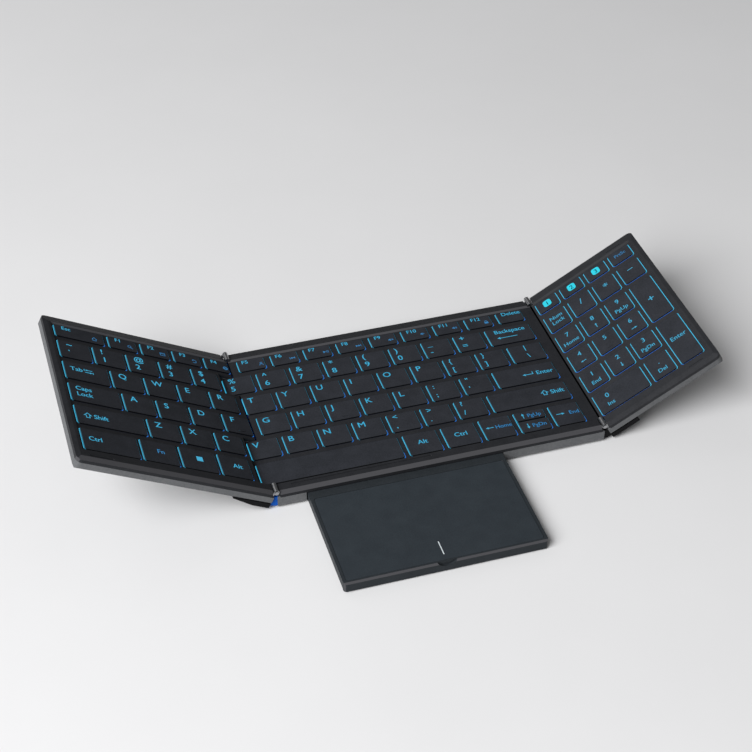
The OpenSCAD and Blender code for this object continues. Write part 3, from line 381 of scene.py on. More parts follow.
def recolour_near_slopes(made, code, turns):
    """Paints another colour, a painted highlight or painted shade, on the faces whose turn towards the
    user lies in a range.
    """
    towards = made.dot("Normal", (0, -1, 0))
    above = made.maths("GREATER_THAN", towards, turns[0])
    below = made.maths("LESS_THAN", towards, turns[1])
    mix = made.add("ShaderNodeMix", data_type="RGBA")
    grain = made.shader.inputs["Base Color"].links[0].from_socket
    made.link(made.maths("MULTIPLY", above, below), mix.inputs["Factor"])
    made.link(grain, mix.inputs[MIX_FIRST])
    mix.inputs[MIX_SECOND].default_value = linear(code)
    made.link(mix.outputs[MIX_RESULT], made.shader.inputs["Base Color"])


def key_plastic(panel):
    """Grained cap plastic with the backlight's glow painted on its left, right and back walls, brightest
    low down, and painted shade on the faces that turn towards the user.
    """
    name = "key_plastic_" + panel.name
    made = grained(name, KEY_DARK, KEY_LIGHT, PLASTIC_GRAIN, KEY_ROUGH, bump=0.25)
    to_right = made.dot("Normal", panel.matrix.to_3x3() @ Vector((1, 0, 0)))
    to_back = made.dot("Normal", (0, 1, 0))
    height = made.dot("Object", panel.up)
    fade = made.span(height, 1, WALL_FADE, panel.pivot + CAP_RIM * MM, panel.pivot + CAP_TOP * MM)
    left = made.maths("MULTIPLY", made.maths("LESS_THAN", to_right, -SIDE_TURN), WALL_LEFT)
    right = made.maths("MULTIPLY", made.maths("GREATER_THAN", to_right, SIDE_TURN), WALL_RIGHT)
    behind = made.maths("MULTIPLY", made.maths("GREATER_THAN", to_back, BACK_TURN), WALL_BACK)
    lit = made.maths("ADD", made.maths("ADD", left, right), behind)
    made.link(made.maths("MULTIPLY", lit, fade), made.shader.inputs["Emission Strength"])
    made.shader.inputs["Emission Color"].default_value = linear(GLOW_BRIGHT)
    # painted shade on the cap faces that turn towards the user
    recolour_near_slopes(made, KEY_PAINTED_SHADE, KEY_PAINTED_SHADE_TURNS)
    return made


def chamfered(name, dark, light):
    """Grained plastic with a painted highlight on the bevels that face the user."""
    made = grained(name, dark, light, PLASTIC_GRAIN, PLASTIC_ROUGH, bump=0.2)
    recolour_near_slopes(made, BEVEL_PAINTED_HIGHLIGHT, BEVEL_TURNS)
    return made


def board_mask():
    """Green solder mask with fine copper runs showing through."""
    made = grained("circuit_board", "#06301c", "#0a4a2c", [700] * 3, (0.3, 0.45), coat=0.3)
    wave = made.add("ShaderNodeTexWave", wave_type="BANDS", bands_direction="X")
    wave.inputs["Scale"].default_value = 1
    wave.inputs["Distortion"].default_value = COPPER_BEND
    made.link(made.scaled(COPPER_SCALE), wave.inputs["Vector"])
    runs = made.ramp(wave.outputs["Fac"], COPPER_STOPS[0], "#083c23", COPPER_STOPS[1], "#1c6a3c")
    made.link(runs, made.shader.inputs["Base Color"])
    return made


def printed_film():
    """Grey film with printed silver runs."""
    made = grained("membrane_film", "#8c969a", "#a2acb0", [500] * 3, (0.25, 0.4))
    bricks = made.add("ShaderNodeTexBrick")
    bricks.inputs["Color1"].default_value = linear("#98a2a6")
    bricks.inputs["Color2"].default_value = linear("#a0aaae")
    bricks.inputs["Mortar"].default_value = linear("#d8dcde")
    bricks.inputs["Scale"].default_value = 1
    bricks.inputs["Mortar Size"].default_value = SILVER_WIDTH
    made.link(made.scaled(SILVER_SCALE), bricks.inputs["Vector"])
    made.link(bricks.outputs["Color"], made.shader.inputs["Base Color"])
    return made


# Dark and light colour, grain per metre, least and most roughness, and other values by name
GRAINED = {
    "grey_case": ("#5a5c5e", "#6a6b6d", [900] * 3, (0.42, 0.55), {"bump": 0.15}),
    # The black frame made lighter for the right wing: painted light, without the painted bevel highlight
    "plain_frame": ("#26272a", "#323336", PLASTIC_GRAIN, PLASTIC_ROUGH, {"bump": 0.2}),
    "sheet_steel": ("#a4a4a6", "#c4c4c6", [60, 2400, 2400], (0.25, 0.42), {"metallic": 1.0}),
    "dome_silicone": ("#9cc2d6", "#b4d6e6", [400] * 3, (0.45, 0.6), {}),
    "battery_foil": ("#9c9da0", "#bcbdc0", [300, 500, 300], (0.25, 0.5), {"bump": 0.5, "metallic": 1.0}),
    "black_rubber": ("#17181a", "#202124", [1800] * 3, (0.7, 0.85), {"bump": 0.3}),
    "blue_guard": ("#0c4ca8", "#1660c4", [1300] * 3, (0.4, 0.55), {"bump": 0.2}),
    "hinge_steel": ("#8a8b8d", "#b6b7b9", [2200, 120, 2200], (0.25, 0.4), {"metallic": 1.0}),
    "switch_plastic": ("#bcbcb6", "#cacac4", [800] * 3, (0.45, 0.6), {}),
    "touch_surface": ("#2a2f34", "#343a3f", [1600] * 3, (0.42, 0.52), {"bump": 0.08}),
    "cover_plastic": ("#0b0b0c", "#131315", PLASTIC_GRAIN, (0.4, 0.55), {"bump": 0.2}),
    "icon_dark": ("#0c2c3a", "#103444", [900] * 3, (0.5, 0.6), {}),
    "pad_mark": ("#c4ccd0", "#d4dce0", [600] * 3, (0.4, 0.5), {}),
}
# Colour and strength of the light, and the colour that shows unlit
GLOWING = {
    "light_guide": (GLOW_BRIGHT, 0.6, "#bfe4f4"),
    "legend_light": (LEGEND_BRIGHT, 1.0, UNLIT),
    "legend_dim": (LEGEND_DIM, 0.9, UNLIT),
    "icon_light": (ICON_LIGHT, 1.1, UNLIT),
    "gap_bright": (GLOW_BRIGHT, 1.25, UNLIT),
    "gap_dim": (GLOW_DIM, 1.3, UNLIT),
    # a near-black strip with a faint glow: painted shade in the front gaps
    "gap_dark": (GLOW_PAINTED_SHADE, 0.3, "#050608"),
}
LOOKS = {
    "black_frame": chamfered("black_frame", "#212225", "#2c2d30"),
    "drawer_plastic": chamfered("drawer_plastic", "#262a2d", "#303438"),
    "membrane_film": printed_film(),
    "circuit_board": board_mask(),
}
for look, (*values, others) in GRAINED.items():
    LOOKS[look] = grained(look, *values, **others)
for look, values in GLOWING.items():
    LOOKS[look] = glowing(look, *values)
for panel in PANELS:
    LOOKS["keys_" + panel.name] = key_plastic(panel)

# Part of a node's name and its look; the first that fits is used
NODE_LOOKS = [
    ("left_keys", "keys_left"),
    ("right_keys", "keys_right"),
    ("right_tall", "keys_right"),
    ("keys", "keys_centre"),
    ("space_bar", "keys_centre"),
    ("lower_shell", "grey_case"),
    # the right wing's frame gets the lighter copy, painted light
    ("right_top_frame", "plain_frame"),
    ("top_frame", "black_frame"),
    ("support_plate", "sheet_steel"),
    ("membrane", "membrane_film"),
    ("dome_sheet", "dome_silicone"),
    ("light_guide", "light_guide"),
    ("board", "circuit_board"),
    ("battery", "battery_foil"),
    ("feet", "black_rubber"),
    ("left_spine_guard", "blue_guard"),
    ("right_spine_guard", "cover_plastic"),
    ("hinge_cover", "cover_plastic"),
    ("switch", "switch_plastic"),
    ("touchpad_surface", "touch_surface"),
    ("touchpad_tray", "drawer_plastic"),
    ("touchpad_lid", "drawer_plastic"),
    ("", "hinge_steel"),
]


def dress(obj, look):
    obj.data.materials.clear()
    obj.data.materials.append(LOOKS[look].material)


for node_name, obj in nodes.items():
    dress(obj, next(look for part, look in NODE_LOOKS if part in node_name))

# ---- Thin printed shapes ----

FILM = 0.02
STROKE = 0.42
FINE_STROKE = 0.3
# Shares of a text's height: the shift of its second print, and how near its points are joined
BOLD = 0.03
WELD = 0.002
TEXT_STEPS = 3
# A turn with a shorter sum of its two normals goes straight back; a mitre is cut at this cosine
TURNS_BACK = 0.2
MITRE_LIMIT = 0.4


class Print:
    """Flat shapes in a panel's frame, gathered into one thin piece."""

    def __init__(self, panel, z, thick=FILM):
        self.panel = panel
        self.z = z
        self.thick = thick
        self.mesh = bmesh.new()

    def fill(self, points):
        """A filled outline, given anticlockwise."""
        low = [self.mesh.verts.new((x, y, self.z)) for x, y in points]
        high = [self.mesh.verts.new((x, y, self.z + self.thick)) for x, y in points]
        self.mesh.faces.new(list(reversed(low)))
        self.mesh.faces.new(high)
        for i in range(len(points)):
            j = (i + 1) % len(points)
            self.mesh.faces.new((low[i], low[j], high[j], high[i]))

    def box(self, x0, y0, x1, y1):
        self.fill([(x0, y0), (x1, y0), (x1, y1), (x0, y1)])

    def line(self, points, width=STROKE):
        """A line with mitred corners; a closed one repeats its first point."""
        closed = points[0] == points[-1]
        path = [Vector(p) for p in points]
        count = len(path)
        edges = []
        for i, point in enumerate(path):
            before = path[i] - path[i - 1] if i > 0 else None
            after = path[i + 1] - path[i] if i < count - 1 else None
            if closed and i in (0, count - 1):
                before = path[0] - path[-2]
                after = path[1] - path[0]
            one = (before or after).normalized()
            two = (after or before).normalized()
            normal = Vector((-one.y - two.y, one.x + two.x))
            if normal.length < TURNS_BACK:
                normal = Vector((-one.y, one.x))
            normal.normalize()
            cosine = max(normal.dot(Vector((-one.y, one.x))), MITRE_LIMIT)
            reach = normal * width / 2 / cosine
            edges.append((point - reach, point + reach))
        for (a, b), (c, d) in zip(edges, edges[1:]):
            self.fill([a, c, d, b])

    def ring(self, x, y, radius, width=STROKE, squeeze=1.0, steps=18):
        """A ring round (x, y), made narrower by squeeze."""
        turns = [2 * math.pi * (i % steps) / steps for i in range(steps + 1)]
        self.line([(x + radius * squeeze * math.cos(t), y + radius * math.sin(t)) for t in turns], width)

    def text(self, words, x, y, height, align="LEFT", stretch=1.0):
        """Words with capital height in mm; x is their left edge, middle or right edge."""
        curve = bpy.data.curves.new("words", "FONT")
        curve.body = words
        curve.align_x = align
        curve.size = height / CAPITAL
        curve.resolution_u = TEXT_STEPS
        obj = bpy.data.objects.new("words", curve)
        bpy.context.scene.collection.objects.link(obj)
        bpy.context.view_layer.update()
        shown = obj.evaluated_get(bpy.context.evaluated_depsgraph_get())
        shape = bpy.data.meshes.new_from_object(shown)
        bpy.data.objects.remove(obj)
        bpy.data.curves.remove(curve)
        flat = bmesh.new()
        flat.from_mesh(shape)
        bmesh.ops.remove_doubles(flat, verts=flat.verts, dist=height * WELD)
        bmesh.ops.recalc_face_normals(flat, faces=flat.faces)
        made = bmesh.ops.extrude_face_region(flat, geom=flat.faces[:])
        for vert in (v for v in made["geom"] if isinstance(v, bmesh.types.BMVert)):
            vert.co.z += self.thick
        flat.transform(Matrix.Translation((x, y, self.z)) @ Matrix.Diagonal((stretch, 1, 1, 1)))
        # printed twice, a little apart, which makes the strokes bolder
        for _ in range(2):
            flat.to_mesh(shape)
            self.mesh.from_mesh(shape)
            flat.transform(Matrix.Translation((height * BOLD, 0, 0)))
        flat.free()
        bpy.data.meshes.remove(shape)

    def finish(self, name, look, slot_name, body=None):
        """Places the shapes in the row frame as a piece that rides on a body."""
        if not self.mesh.faces:
            return
        bmesh.ops.recalc_face_normals(self.mesh, faces=self.mesh.faces)
        data = bpy.data.meshes.new(name)
        self.mesh.to_mesh(data)
        self.mesh.free()
        data.transform(self.panel.matrix @ Matrix.Scale(MM, 4))
        obj = bpy.data.objects.new(name, data)
        bpy.context.scene.collection.objects.link(obj)
        dress(obj, look)
        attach(obj, body or self.panel.body)


def capital_height():
    """Height of a capital in the built-in font at size 1."""
    curve = bpy.data.curves.new("capital", "FONT")
    curve.body = "H"
    obj = bpy.data.objects.new("capital", curve)
    bpy.context.scene.collection.objects.link(obj)
    bpy.context.view_layer.update()
    height = obj.dimensions.y
    bpy.data.objects.remove(obj)
    bpy.data.curves.remove(curve)
    return height


CAPITAL = capital_height()

# ---- Small signs ----

# Most are drawn in a square of a given size with its lower left corner at (x, y), and their points
# are shares of that size. Arrows have their sizes in millimetres.

RETURN_HEAD = 1.7
RETURN_LINE_END = 1.2


def scaled_points(x, y, size, points):
    return [(x + size * px, y + size * py) for px, py in points]


def arrow(sign, x, y, length, turn, head=1.5, width=STROKE):
    """An arrow from (x, y) that points turn degrees from the right."""
    cos_turn, sin_turn = math.cos(math.radians(turn)), math.sin(math.radians(turn))

    def at(u, v):
        return (x + u * cos_turn - v * sin_turn, y + u * sin_turn + v * cos_turn)

    sign.line([at(0, 0), at(length - head * 0.5, 0)], width)
    sign.fill([at(length, 0), at(length - head, head * 0.5), at(length - head, -head * 0.5)])


def shift_arrow(sign, x, y, size):
    outline = [(0.5, 1), (0, 0.5), (0.25, 0.5), (0.25, 0), (0.75, 0), (0.75, 0.5), (1, 0.5), (0.5, 1)]
    sign.line(scaled_points(x, y, size, outline))


def tab_arrows(sign, x, y, length=4.0, head=1.3, bar_height=1.5):
    """An arrow to the left and below it one to the right, each up to a bar."""
    for turn, start, bar, row in ((180, 4.6, 0.2, y), (0, 0.4, 4.8, y - 1.9)):
        arrow(sign, x + start, row, length, turn, head)
        sign.line([(x + bar, row - bar_height / 2), (x + bar, row + bar_height / 2)])


def return_arrow(sign, x, y, width, height):
    """An arrow that comes down and points to the left, at (x, y)."""
    sign.line([(x + width, y + height), (x + width, y), (x + RETURN_LINE_END, y)])
    back = x + RETURN_HEAD
    sign.fill([(x, y), (back, y - RETURN_HEAD / 2), (back, y + RETURN_HEAD / 2)])


def house(sign, x, y, size):
    walls = [(0.15, 0.5), (0.15, 0), (0.85, 0), (0.85, 0.5)]
    roof = [(0, 0.45), (0.5, 1), (1, 0.45)]
    sign.line(scaled_points(x, y, size, walls), FINE_STROKE)
    sign.line(scaled_points(x, y, size, roof), FINE_STROKE)


def magnifier(sign, x, y, size):
    sign.ring(x + size * 0.4, y + size * 0.6, size * 0.34, FINE_STROKE)
    sign.line(scaled_points(x, y, size, [(0.65, 0.35), (1, 0)]), FINE_STROKE)


def window(sign, x, y, size):
    edge = [(0, 0.1), (1, 0.1), (1, 0.9), (0, 0.9), (0, 0.1)]
    sign.line(scaled_points(x, y, size, edge), FINE_STROKE)
    sign.line(scaled_points(x, y, size, [(0, 0.65), (1, 0.65)]), FINE_STROKE)


def turn_back(sign, x, y, size):
    """Three quarters of a ring with a head: back."""
    turns = [math.radians(a) for a in range(-140, 121, 20)]
    arc = [(0.5 + 0.45 * math.cos(t), 0.5 + 0.45 * math.sin(t)) for t in turns]
    sign.line(scaled_points(x, y, size, arc), FINE_STROKE)
    sign.fill(scaled_points(x, y, size, [(0.02, 0.72), (0.42, 0.72), (0.3, 1.05)]))


def globe(sign, x, y, size):
    half = size / 2
    radius = half * 0.95
    thin = FINE_STROKE * 0.8
    sign.ring(x + half, y + half, radius, FINE_STROKE)
    sign.ring(x + half, y + half, radius, thin, squeeze=0.45)
    sign.line([(x, y + half), (x + size, y + half)], thin)


def person(sign, x, y, size):
    sign.ring(x + size * 0.5, y + size * 0.75, size * 0.2, FINE_STROKE)
    body = [(0.1, 0), (0.2, 0.35), (0.5, 0.45), (0.8, 0.35), (0.9, 0)]
    sign.line(scaled_points(x, y, size, body), FINE_STROKE)


def skip(sign, x, y, size, forward):
    """Two heads and a bar: next, or the one before."""
    for step in (0, 0.5):
        points = [(step, 0.2), (step + 0.5, 0.5), (step, 0.8)]
        if not forward:
            points = [(1 - px, py) for px, py in reversed(points)]
        sign.fill(scaled_points(x, y, size, points))
    bar = 1.05 if forward else -0.05
    sign.line(scaled_points(x, y, size, [(bar, 0.2), (bar, 0.8)]), FINE_STROKE)


def play_pause(sign, x, y, size):
    sign.fill(scaled_points(x, y, size, [(0, 0.15), (0.55, 0.5), (0, 0.85)]))
    for bar in (0.75, 1.05):
        sign.line(scaled_points(x, y, size, [(bar, 0.15), (bar, 0.85)]), FINE_STROKE)


def speaker(sign, x, y, size, waves):
    """A loudspeaker with sound waves, or with a cross where it has none."""
    cone = [(0, 0.35), (0.2, 0.35), (0.5, 0.1), (0.5, 0.9), (0.2, 0.65), (0, 0.65)]
    sign.fill(scaled_points(x, y, size, cone))
    turns = [math.radians(a) for a in range(-50, 51, 20)]
    for wave in range(waves):
        reach = 0.2 + 0.18 * wave
        arc = [(0.55 + reach * math.cos(t), 0.5 + reach * math.sin(t)) for t in turns]
        sign.line(scaled_points(x, y, size, arc), FINE_STROKE)
    if waves == 0:
        for low, high in ((0.3, 0.7), (0.7, 0.3)):
            sign.line(scaled_points(x, y, size, [(0.65, low), (1.05, high)]), FINE_STROKE)


def padlock(sign, x, y, size):
    sign.fill(scaled_points(x, y, size, [(0.1, 0), (0.9, 0), (0.9, 0.55), (0.1, 0.55)]))
    hasp = [(0.25, 0.5), (0.25, 0.8), (0.5, 1), (0.75, 0.8), (0.75, 0.5)]
    sign.line(scaled_points(x, y, size, hasp), FINE_STROKE)


# ---- Legends ----

# Heights of capitals
LETTER = 3.9
PUNCTUATION = 3.4
DIGIT = 3.1
WORD = 3.0
SMALL = 2.7
TINY = 2.6
# Places on a cap: in from its left edge, down from its far edge, or up from its near edge. The
# numbers added to starts and ends of caps and rows below are such places too.
LETTER_IN = 2.4
LEFT_LETTER_IN = 3.9
LETTER_DOWN = 1.35
PAIR_MORE_IN = 0.4
PAIR_DOWN = 0.75
PAIR_UP = 3.1
FUNCTION_IN = 2.3
FUNCTION_STEP = 0.15
FUNCTION_DOWN = 0.45
SIGN_SIZE = 2.7
SIGN_IN = 10.4
SIGN_UP = 2.7
LEFT_SIGN_IN = 10.9
ESC_SIGN_IN = 20.6
# Shifts of centred legends on the left wing's caps to the right
LEFT_CENTRE_IN = 0.5
ALT_IN = 1.4
# Sizes of signs, and how far the narrowest words are squeezed
SYSTEM_SQUARE = 3.4
ARROW_HEAD = 1.6
PAD_ARROW = 3.4
PAD_ARROW_HEAD = 1.3
NARROW = 0.95


def print_row(panel, key_node, draw):
    """One key node's bright and dim legends, which draw(bright, dim) puts on its cap tops."""
    bright = Print(panel, CAP_TOP)
    dim = Print(panel, CAP_TOP)
    draw(bright, dim)
    bright.finish(key_node + "_legends", "legend_light", "light_guide", key_node)
    dim.finish(key_node + "_dim_legends", "legend_dim", "light_guide", key_node)


def letters(sign, caps, row, words, x=LETTER_IN):
    for cap, word in zip(caps, words):
        sign.text(word, cap[0] + x, row_end(row) - LETTER_DOWN - LETTER, LETTER)


def pairs(sign, caps, row, words, x=LETTER_IN + PAIR_MORE_IN, size=LETTER):
    """Two characters on a cap, the first above the second."""
    for cap, (upper, under) in zip(caps, words):
        sign.text(upper, cap[0] + x, row_end(row) - PAIR_DOWN - size, size)
        sign.text(under, cap[0] + x, row_start(row) + PAIR_UP, size)


def left_function(bright, dim):
    caps = left_caps(FUNCTION)
    y = row_end(FUNCTION) - FUNCTION_DOWN - SMALL
    for cap, word in zip(caps, ["Esc", "F1", "F2", "F3", "F4"]):
        bright.text(word, cap[0] + LEFT_LETTER_IN, y, SMALL)
    low = row_start(FUNCTION) + SIGN_UP
    for cap, sign in zip(caps, [house, magnifier, window, turn_back, globe]):
        inwards = ESC_SIGN_IN if sign is house else LEFT_SIGN_IN
        sign(dim, cap[0] + inwards, low, SIGN_SIZE)


def centre_function(bright, dim):
    caps = centre_caps(FUNCTION)
    y = row_end(FUNCTION) - FUNCTION_DOWN - SMALL
    for k, cap in enumerate(caps[:8]):
        bright.text(f"F{k + 5}", cap[0] + FUNCTION_IN + FUNCTION_STEP * k, y, SMALL)
    bright.text("Delete", caps[8][0] + 3.0, y, SMALL + 0.1)
    low = row_start(FUNCTION) + SIGN_UP
    at = [cap[0] + SIGN_IN for cap in caps]
    person(dim, at[0] + 1, low, SIGN_SIZE)
    skip(dim, at[1], low, SIGN_SIZE, False)
    play_pause(dim, at[2], low, SIGN_SIZE)
    skip(dim, at[3], low, SIGN_SIZE, True)
    for place, waves in ((4, 0), (5, 1), (6, 2)):
        speaker(dim, at[place], low, SIGN_SIZE, waves)
    padlock(dim, at[7], low, SIGN_SIZE)


def left_number(bright, dim):
    caps = left_caps(NUMBER)
    pairs(bright, caps[:1], NUMBER, ["~`"], LEFT_LETTER_IN + PAIR_MORE_IN)
    pairs(bright, caps[1:], NUMBER, ["!1", "@2", "#3", "$4"], LEFT_LETTER_IN)


def centre_number(bright, dim):
    caps = centre_caps(NUMBER)
    pairs(bright, caps, NUMBER, ["%5", "^6", "&7", "*8", "(9", ")0", "_-", "+="])
    start = caps[8][0]
    bright.text("Backspace", start + 4.6, row_end(NUMBER) - 4.7, WORD)
    arrow(bright, start + 16.8, row_start(NUMBER) + 5.7, 12, 180, 1.9)


def left_upper(bright, dim):
    caps = left_caps(UPPER)
    letters(bright, caps[1:], UPPER, "QWER", LEFT_LETTER_IN)
    start = caps[0][0]
    bright.text("Tab", start + 3.3, row_end(UPPER) - 6.8, WORD)
    tab_arrows(bright, start + 10.8, row_end(UPPER) - 4.6)


def centre_upper(bright, dim):
    caps = centre_caps(UPPER)
    letters(bright, caps, UPPER, "TYUIOP")
    pairs(bright, caps[6:8], UPPER, ["{[", "}]"], size=PUNCTUATION)
    pairs(bright, [(middle(caps[8]) - 3.6, caps[8][1])], UPPER, ["|\\"], size=PUNCTUATION)


def left_home(bright, dim):
    caps = left_caps(HOME)
    letters(bright, caps[1:], HOME, "ASDF", LEFT_LETTER_IN)
    start = caps[0][0]
    bright.text("Caps", start + 3.3, row_end(HOME) - 4.9, WORD)
    bright.text("Lock", start + 3.3, row_end(HOME) - 9.6, WORD)


def centre_home(bright, dim):
    caps = centre_caps(HOME)
    letters(bright, caps, HOME, "GHJKL")
    pairs(bright, caps[5:7], HOME, [":;", "\"'"], size=PUNCTUATION)
    start = caps[7][0]
    low = row_end(HOME) - 8.6
    return_arrow(bright, start + 15.4, low + 1.2, 6, 1.9)
    bright.text("Enter", start + 23.2, low, WORD)


def left_lower(bright, dim):
    caps = left_caps(LOWER)
    letters(bright, caps[1:], LOWER, "ZXC", LEFT_LETTER_IN)
    start = caps[0][0]
    low = row_start(LOWER) + 5.6
    shift_arrow(bright, start + 4.5, low, 3.6)
    bright.text("Shift", start + 9.4, low + 0.1, WORD)


def centre_lower(bright, dim):
    caps = centre_caps(LOWER)
    letters(bright, caps, LOWER, "VBNM")
    pairs(bright, caps[4:7], LOWER, ["<,", ">.", "?/"], size=PUNCTUATION)
    start = caps[7][0]
    low = row_start(LOWER) + 5.8
    shift_arrow(bright, start + 29.3, low + 0.4, 3.6)
    bright.text("Shift", start + 34.2, low + 0.5, WORD)


def left_space(bright, dim):
    caps = left_caps(SPACE)
    low = row_start(SPACE) + 7.6
    bright.text("Ctrl", caps[0][0] + 3.4, low, WORD)
    dim.text("Fn", middle(caps[1]) + LEFT_CENTRE_IN, low, WORD, "CENTER")
    bright.text("Alt", middle(caps[3]) + ALT_IN, low, WORD, "CENTER")
    x, y, half = middle(caps[2]) + LEFT_CENTRE_IN, low + 1.6, SYSTEM_SQUARE / 2
    bright.box(x - half, y - half, x + half, y + half)


def centre_space(bright, dim):
    caps = centre_caps(SPACE)
    low = row_start(SPACE) + 7.6
    bright.text("Alt", middle(caps[1]), low, WORD, "CENTER")
    bright.text("Ctrl", middle(caps[2]), low, WORD, "CENTER")
    home = caps[PAGE_KEY - 1][0]
    arrow(bright, home + 6.4, low + 1.4, 4.4, 180, ARROW_HEAD)
    dim.text("Home", home + 7.2, low, TINY, stretch=NARROW)
    page = caps[PAGE_KEY][0]
    far_row = PAGE_LINE + PAGE_GAP / 2 + 1.9
    near_row = row_start(SPACE) + 3.3
    arrow(bright, page + 4.6, far_row - 0.4, 3.9, 90, ARROW_HEAD)
    dim.text("PgUp", page + 6.8, far_row, TINY, stretch=NARROW)
    arrow(bright, page + 4.6, near_row + 3.3, 3.9, 270, ARROW_HEAD)
    dim.text("PgDn", page + 6.8, near_row, TINY, stretch=NARROW)
    end = caps[PAGE_KEY + 1][0]
    arrow(bright, end + 2.4, low + 1.4, 4.6, 0, ARROW_HEAD)
    dim.text("End", end + 9.4, low, TINY)


def pad_lock(bright, dim):
    caps = pad_caps(NUMBER)
    far = row_end(NUMBER)
    bright.text("Num", middle(caps[0]), far - 5.8, SMALL, "CENTER")
    bright.text("Lock", middle(caps[0]), far - 9.8, SMALL, "CENTER")
    bright.text("/", middle(caps[1]), far - 7.1, LETTER, "CENTER")
    bright.text("*", middle(caps[2]), far - 8.3, 4.4, "CENTER")
    x = middle(caps[3])
    bright.line([(x - 1.7, far - 5.4), (x + 1.7, far - 5.4)])


def pad_pairs(bright, row, words):
    """A digit above and a word, or an arrow with a turn in degrees, below on each cap."""
    for cap, (digit, under) in zip(pad_caps(row), words):
        x = middle(cap)
        bright.text(digit, x, row_end(row) - 2.1 - DIGIT, DIGIT, "CENTER")
        low = row_start(row) + 2.9
        if isinstance(under, int):
            turn = math.radians(under)
            tail_x = x - PAD_ARROW / 2 * math.cos(turn)
            tail_y = low + 1.4 - PAD_ARROW / 2 * math.sin(turn)
            arrow(bright, tail_x, tail_y, PAD_ARROW, under, PAD_ARROW_HEAD)
        elif under:
            bright.text(under, x, low, TINY, "CENTER")


def pad_high(bright, dim):
    pad_pairs(bright, UPPER, [("7", "Home"), ("8", 90), ("9", "PgUp")])


def pad_middle(bright, dim):
    pad_pairs(bright, HOME, [("4", 180), ("5", None), ("6", 0)])


def pad_low(bright, dim):
    pad_pairs(bright, LOWER, [("1", "End"), ("2", 270), ("3", "PgDn")])


def pad_zero(bright, dim):
    caps = pad_caps(SPACE)
    for x, digit, under in ((caps[0][0] + 7.4, "0", "Ins"), (middle(caps[1]), ".", "Del")):
        bright.text(digit, x, row_end(SPACE) - 6.7, DIGIT, "CENTER")
        bright.text(under, x, row_start(SPACE) + 3.6, TINY, "CENTER")


def pad_tall(bright, dim):
    x = middle(TALL_CAP)
    bright.text("Enter", x, (row_start(SPACE) + row_end(LOWER)) / 2 + 0.5, 2.9, "CENTER")
    bright.text("+", x, (row_start(HOME) + row_end(UPPER)) / 2 - 2.2, 4.6, "CENTER")


def pad_icons(bright, dim):
    cap = pad_caps(FUNCTION)[3]
    dim.text("PrtSc", middle(cap), row_start(FUNCTION) + 4.8, 2.3, "CENTER")


TILE = 4.9
TILE_CORNER = 1.3
TILE_UP = 2.9
TILE_DIGIT = 2.9
TILE_DIGIT_UP = 0.8


def rounded(x, y, size, radius, steps=4):
    """A square's outline with round corners."""
    points = []
    for corner, (cx, cy) in enumerate(((1, 1), (0, 1), (0, 0), (1, 0))):
        middle_x = x + radius + cx * (size - 2 * radius)
        middle_y = y + radius + cy * (size - 2 * radius)
        for i in range(steps + 1):
            turn = math.radians(90 * corner + 90 * i / steps)
            points.append((middle_x + radius * math.cos(turn), middle_y + radius * math.sin(turn)))
    return points


def icon_tiles():
    """Lit tiles on the first three caps of the pad's top row, with plain numbers."""
    tiles = Print(RIGHT, CAP_TOP)
    digits = Print(RIGHT, CAP_TOP + FILM)
    low = row_start(FUNCTION) + TILE_UP
    for k, cap in enumerate(pad_caps(FUNCTION)[:3]):
        x = middle(cap)
        tiles.fill(rounded(x - TILE / 2, low, TILE, TILE_CORNER))
        digits.text(str(k + 1), x, low + TILE_DIGIT_UP, TILE_DIGIT, "CENTER")
    key_node = row_node(RIGHT, FUNCTION)
    tiles.finish(key_node + "_tiles", "icon_light", "light_guide", key_node)
    digits.finish(key_node + "_digits", "icon_dark", "key_plastic", key_node)


# Each panel's drawings, from its nearest row on
LEGENDS = [
    (LEFT, [left_space, left_lower, left_home, left_upper, left_number, left_function]),
    (CENTRE, [centre_space, centre_lower, centre_home, centre_upper, centre_number, centre_function]),
    (RIGHT, [pad_zero, pad_low, pad_middle, pad_high, pad_lock, pad_icons]),
]
for panel, drawings in LEGENDS:
    for row in reversed(ROWS):
        print_row(panel, row_node(panel, row), drawings[row])
print_row(RIGHT, "right_tall_keys", pad_tall)
icon_tiles()

# ---- Bars that a finger finds on F, J and 5 ----

BAR_LENGTH = 3.4
BAR_WIDTH = 0.5
BAR_HEIGHT = 0.15
BAR_UP = 2.2
F_BAR_SHIFT = 1.4


def homing_bar(panel, cap, shift=0):
    bar = Print(panel, CAP_TOP, BAR_HEIGHT)
    x = middle(cap) + shift
    y = row_start(HOME) + BAR_UP
    bar.box(x - BAR_LENGTH / 2, y, x + BAR_LENGTH / 2, y + BAR_WIDTH)
    key_node = row_node(panel, HOME)
    bar.finish(key_node + "_homing_bar", f"keys_{panel.name}", "key_plastic", key_node)


homing_bar(LEFT, left_caps(HOME)[4], F_BAR_SHIFT)
homing_bar(CENTRE, centre_caps(HOME)[2])
homing_bar(RIGHT, pad_caps(HOME)[1])

# ---- Light in the gaps beside the caps ----

LIGHT_Z = -1.25
LIGHT_THICK = 0.3
LIGHT_CLEAR = 0.04
# Share of a right strip's length that is made, from its near end; the keypad's are whole
GLINT_SHARE = 0.22
# The strip that each rounded corner belongs to
CORNER_SIDES = {
    "front_right": "right",
    "back_right": "right",
    "back_left": "left",
    "front_left": "front",
}
# The corners between which each strip runs
SIDE_ENDS = {
    "left": ("back_left", "front_left"),
    "right": ("front_right", "back_right"),
    "back": ("back_right", "back_left"),
    "front": ("front_left", "front_right"),
}
# Painted light of set strength in the gaps, by side; off the keypad the front strip is painted shade
GAP_LOOKS = {"left": "gap_bright", "right": "gap_dim", "back": "gap_dim", "front": "gap_dark"}
PAD_GAP_LOOKS = {"left": "gap_bright", "right": "gap_bright", "back": "gap_dim", "front": "gap_dim"}


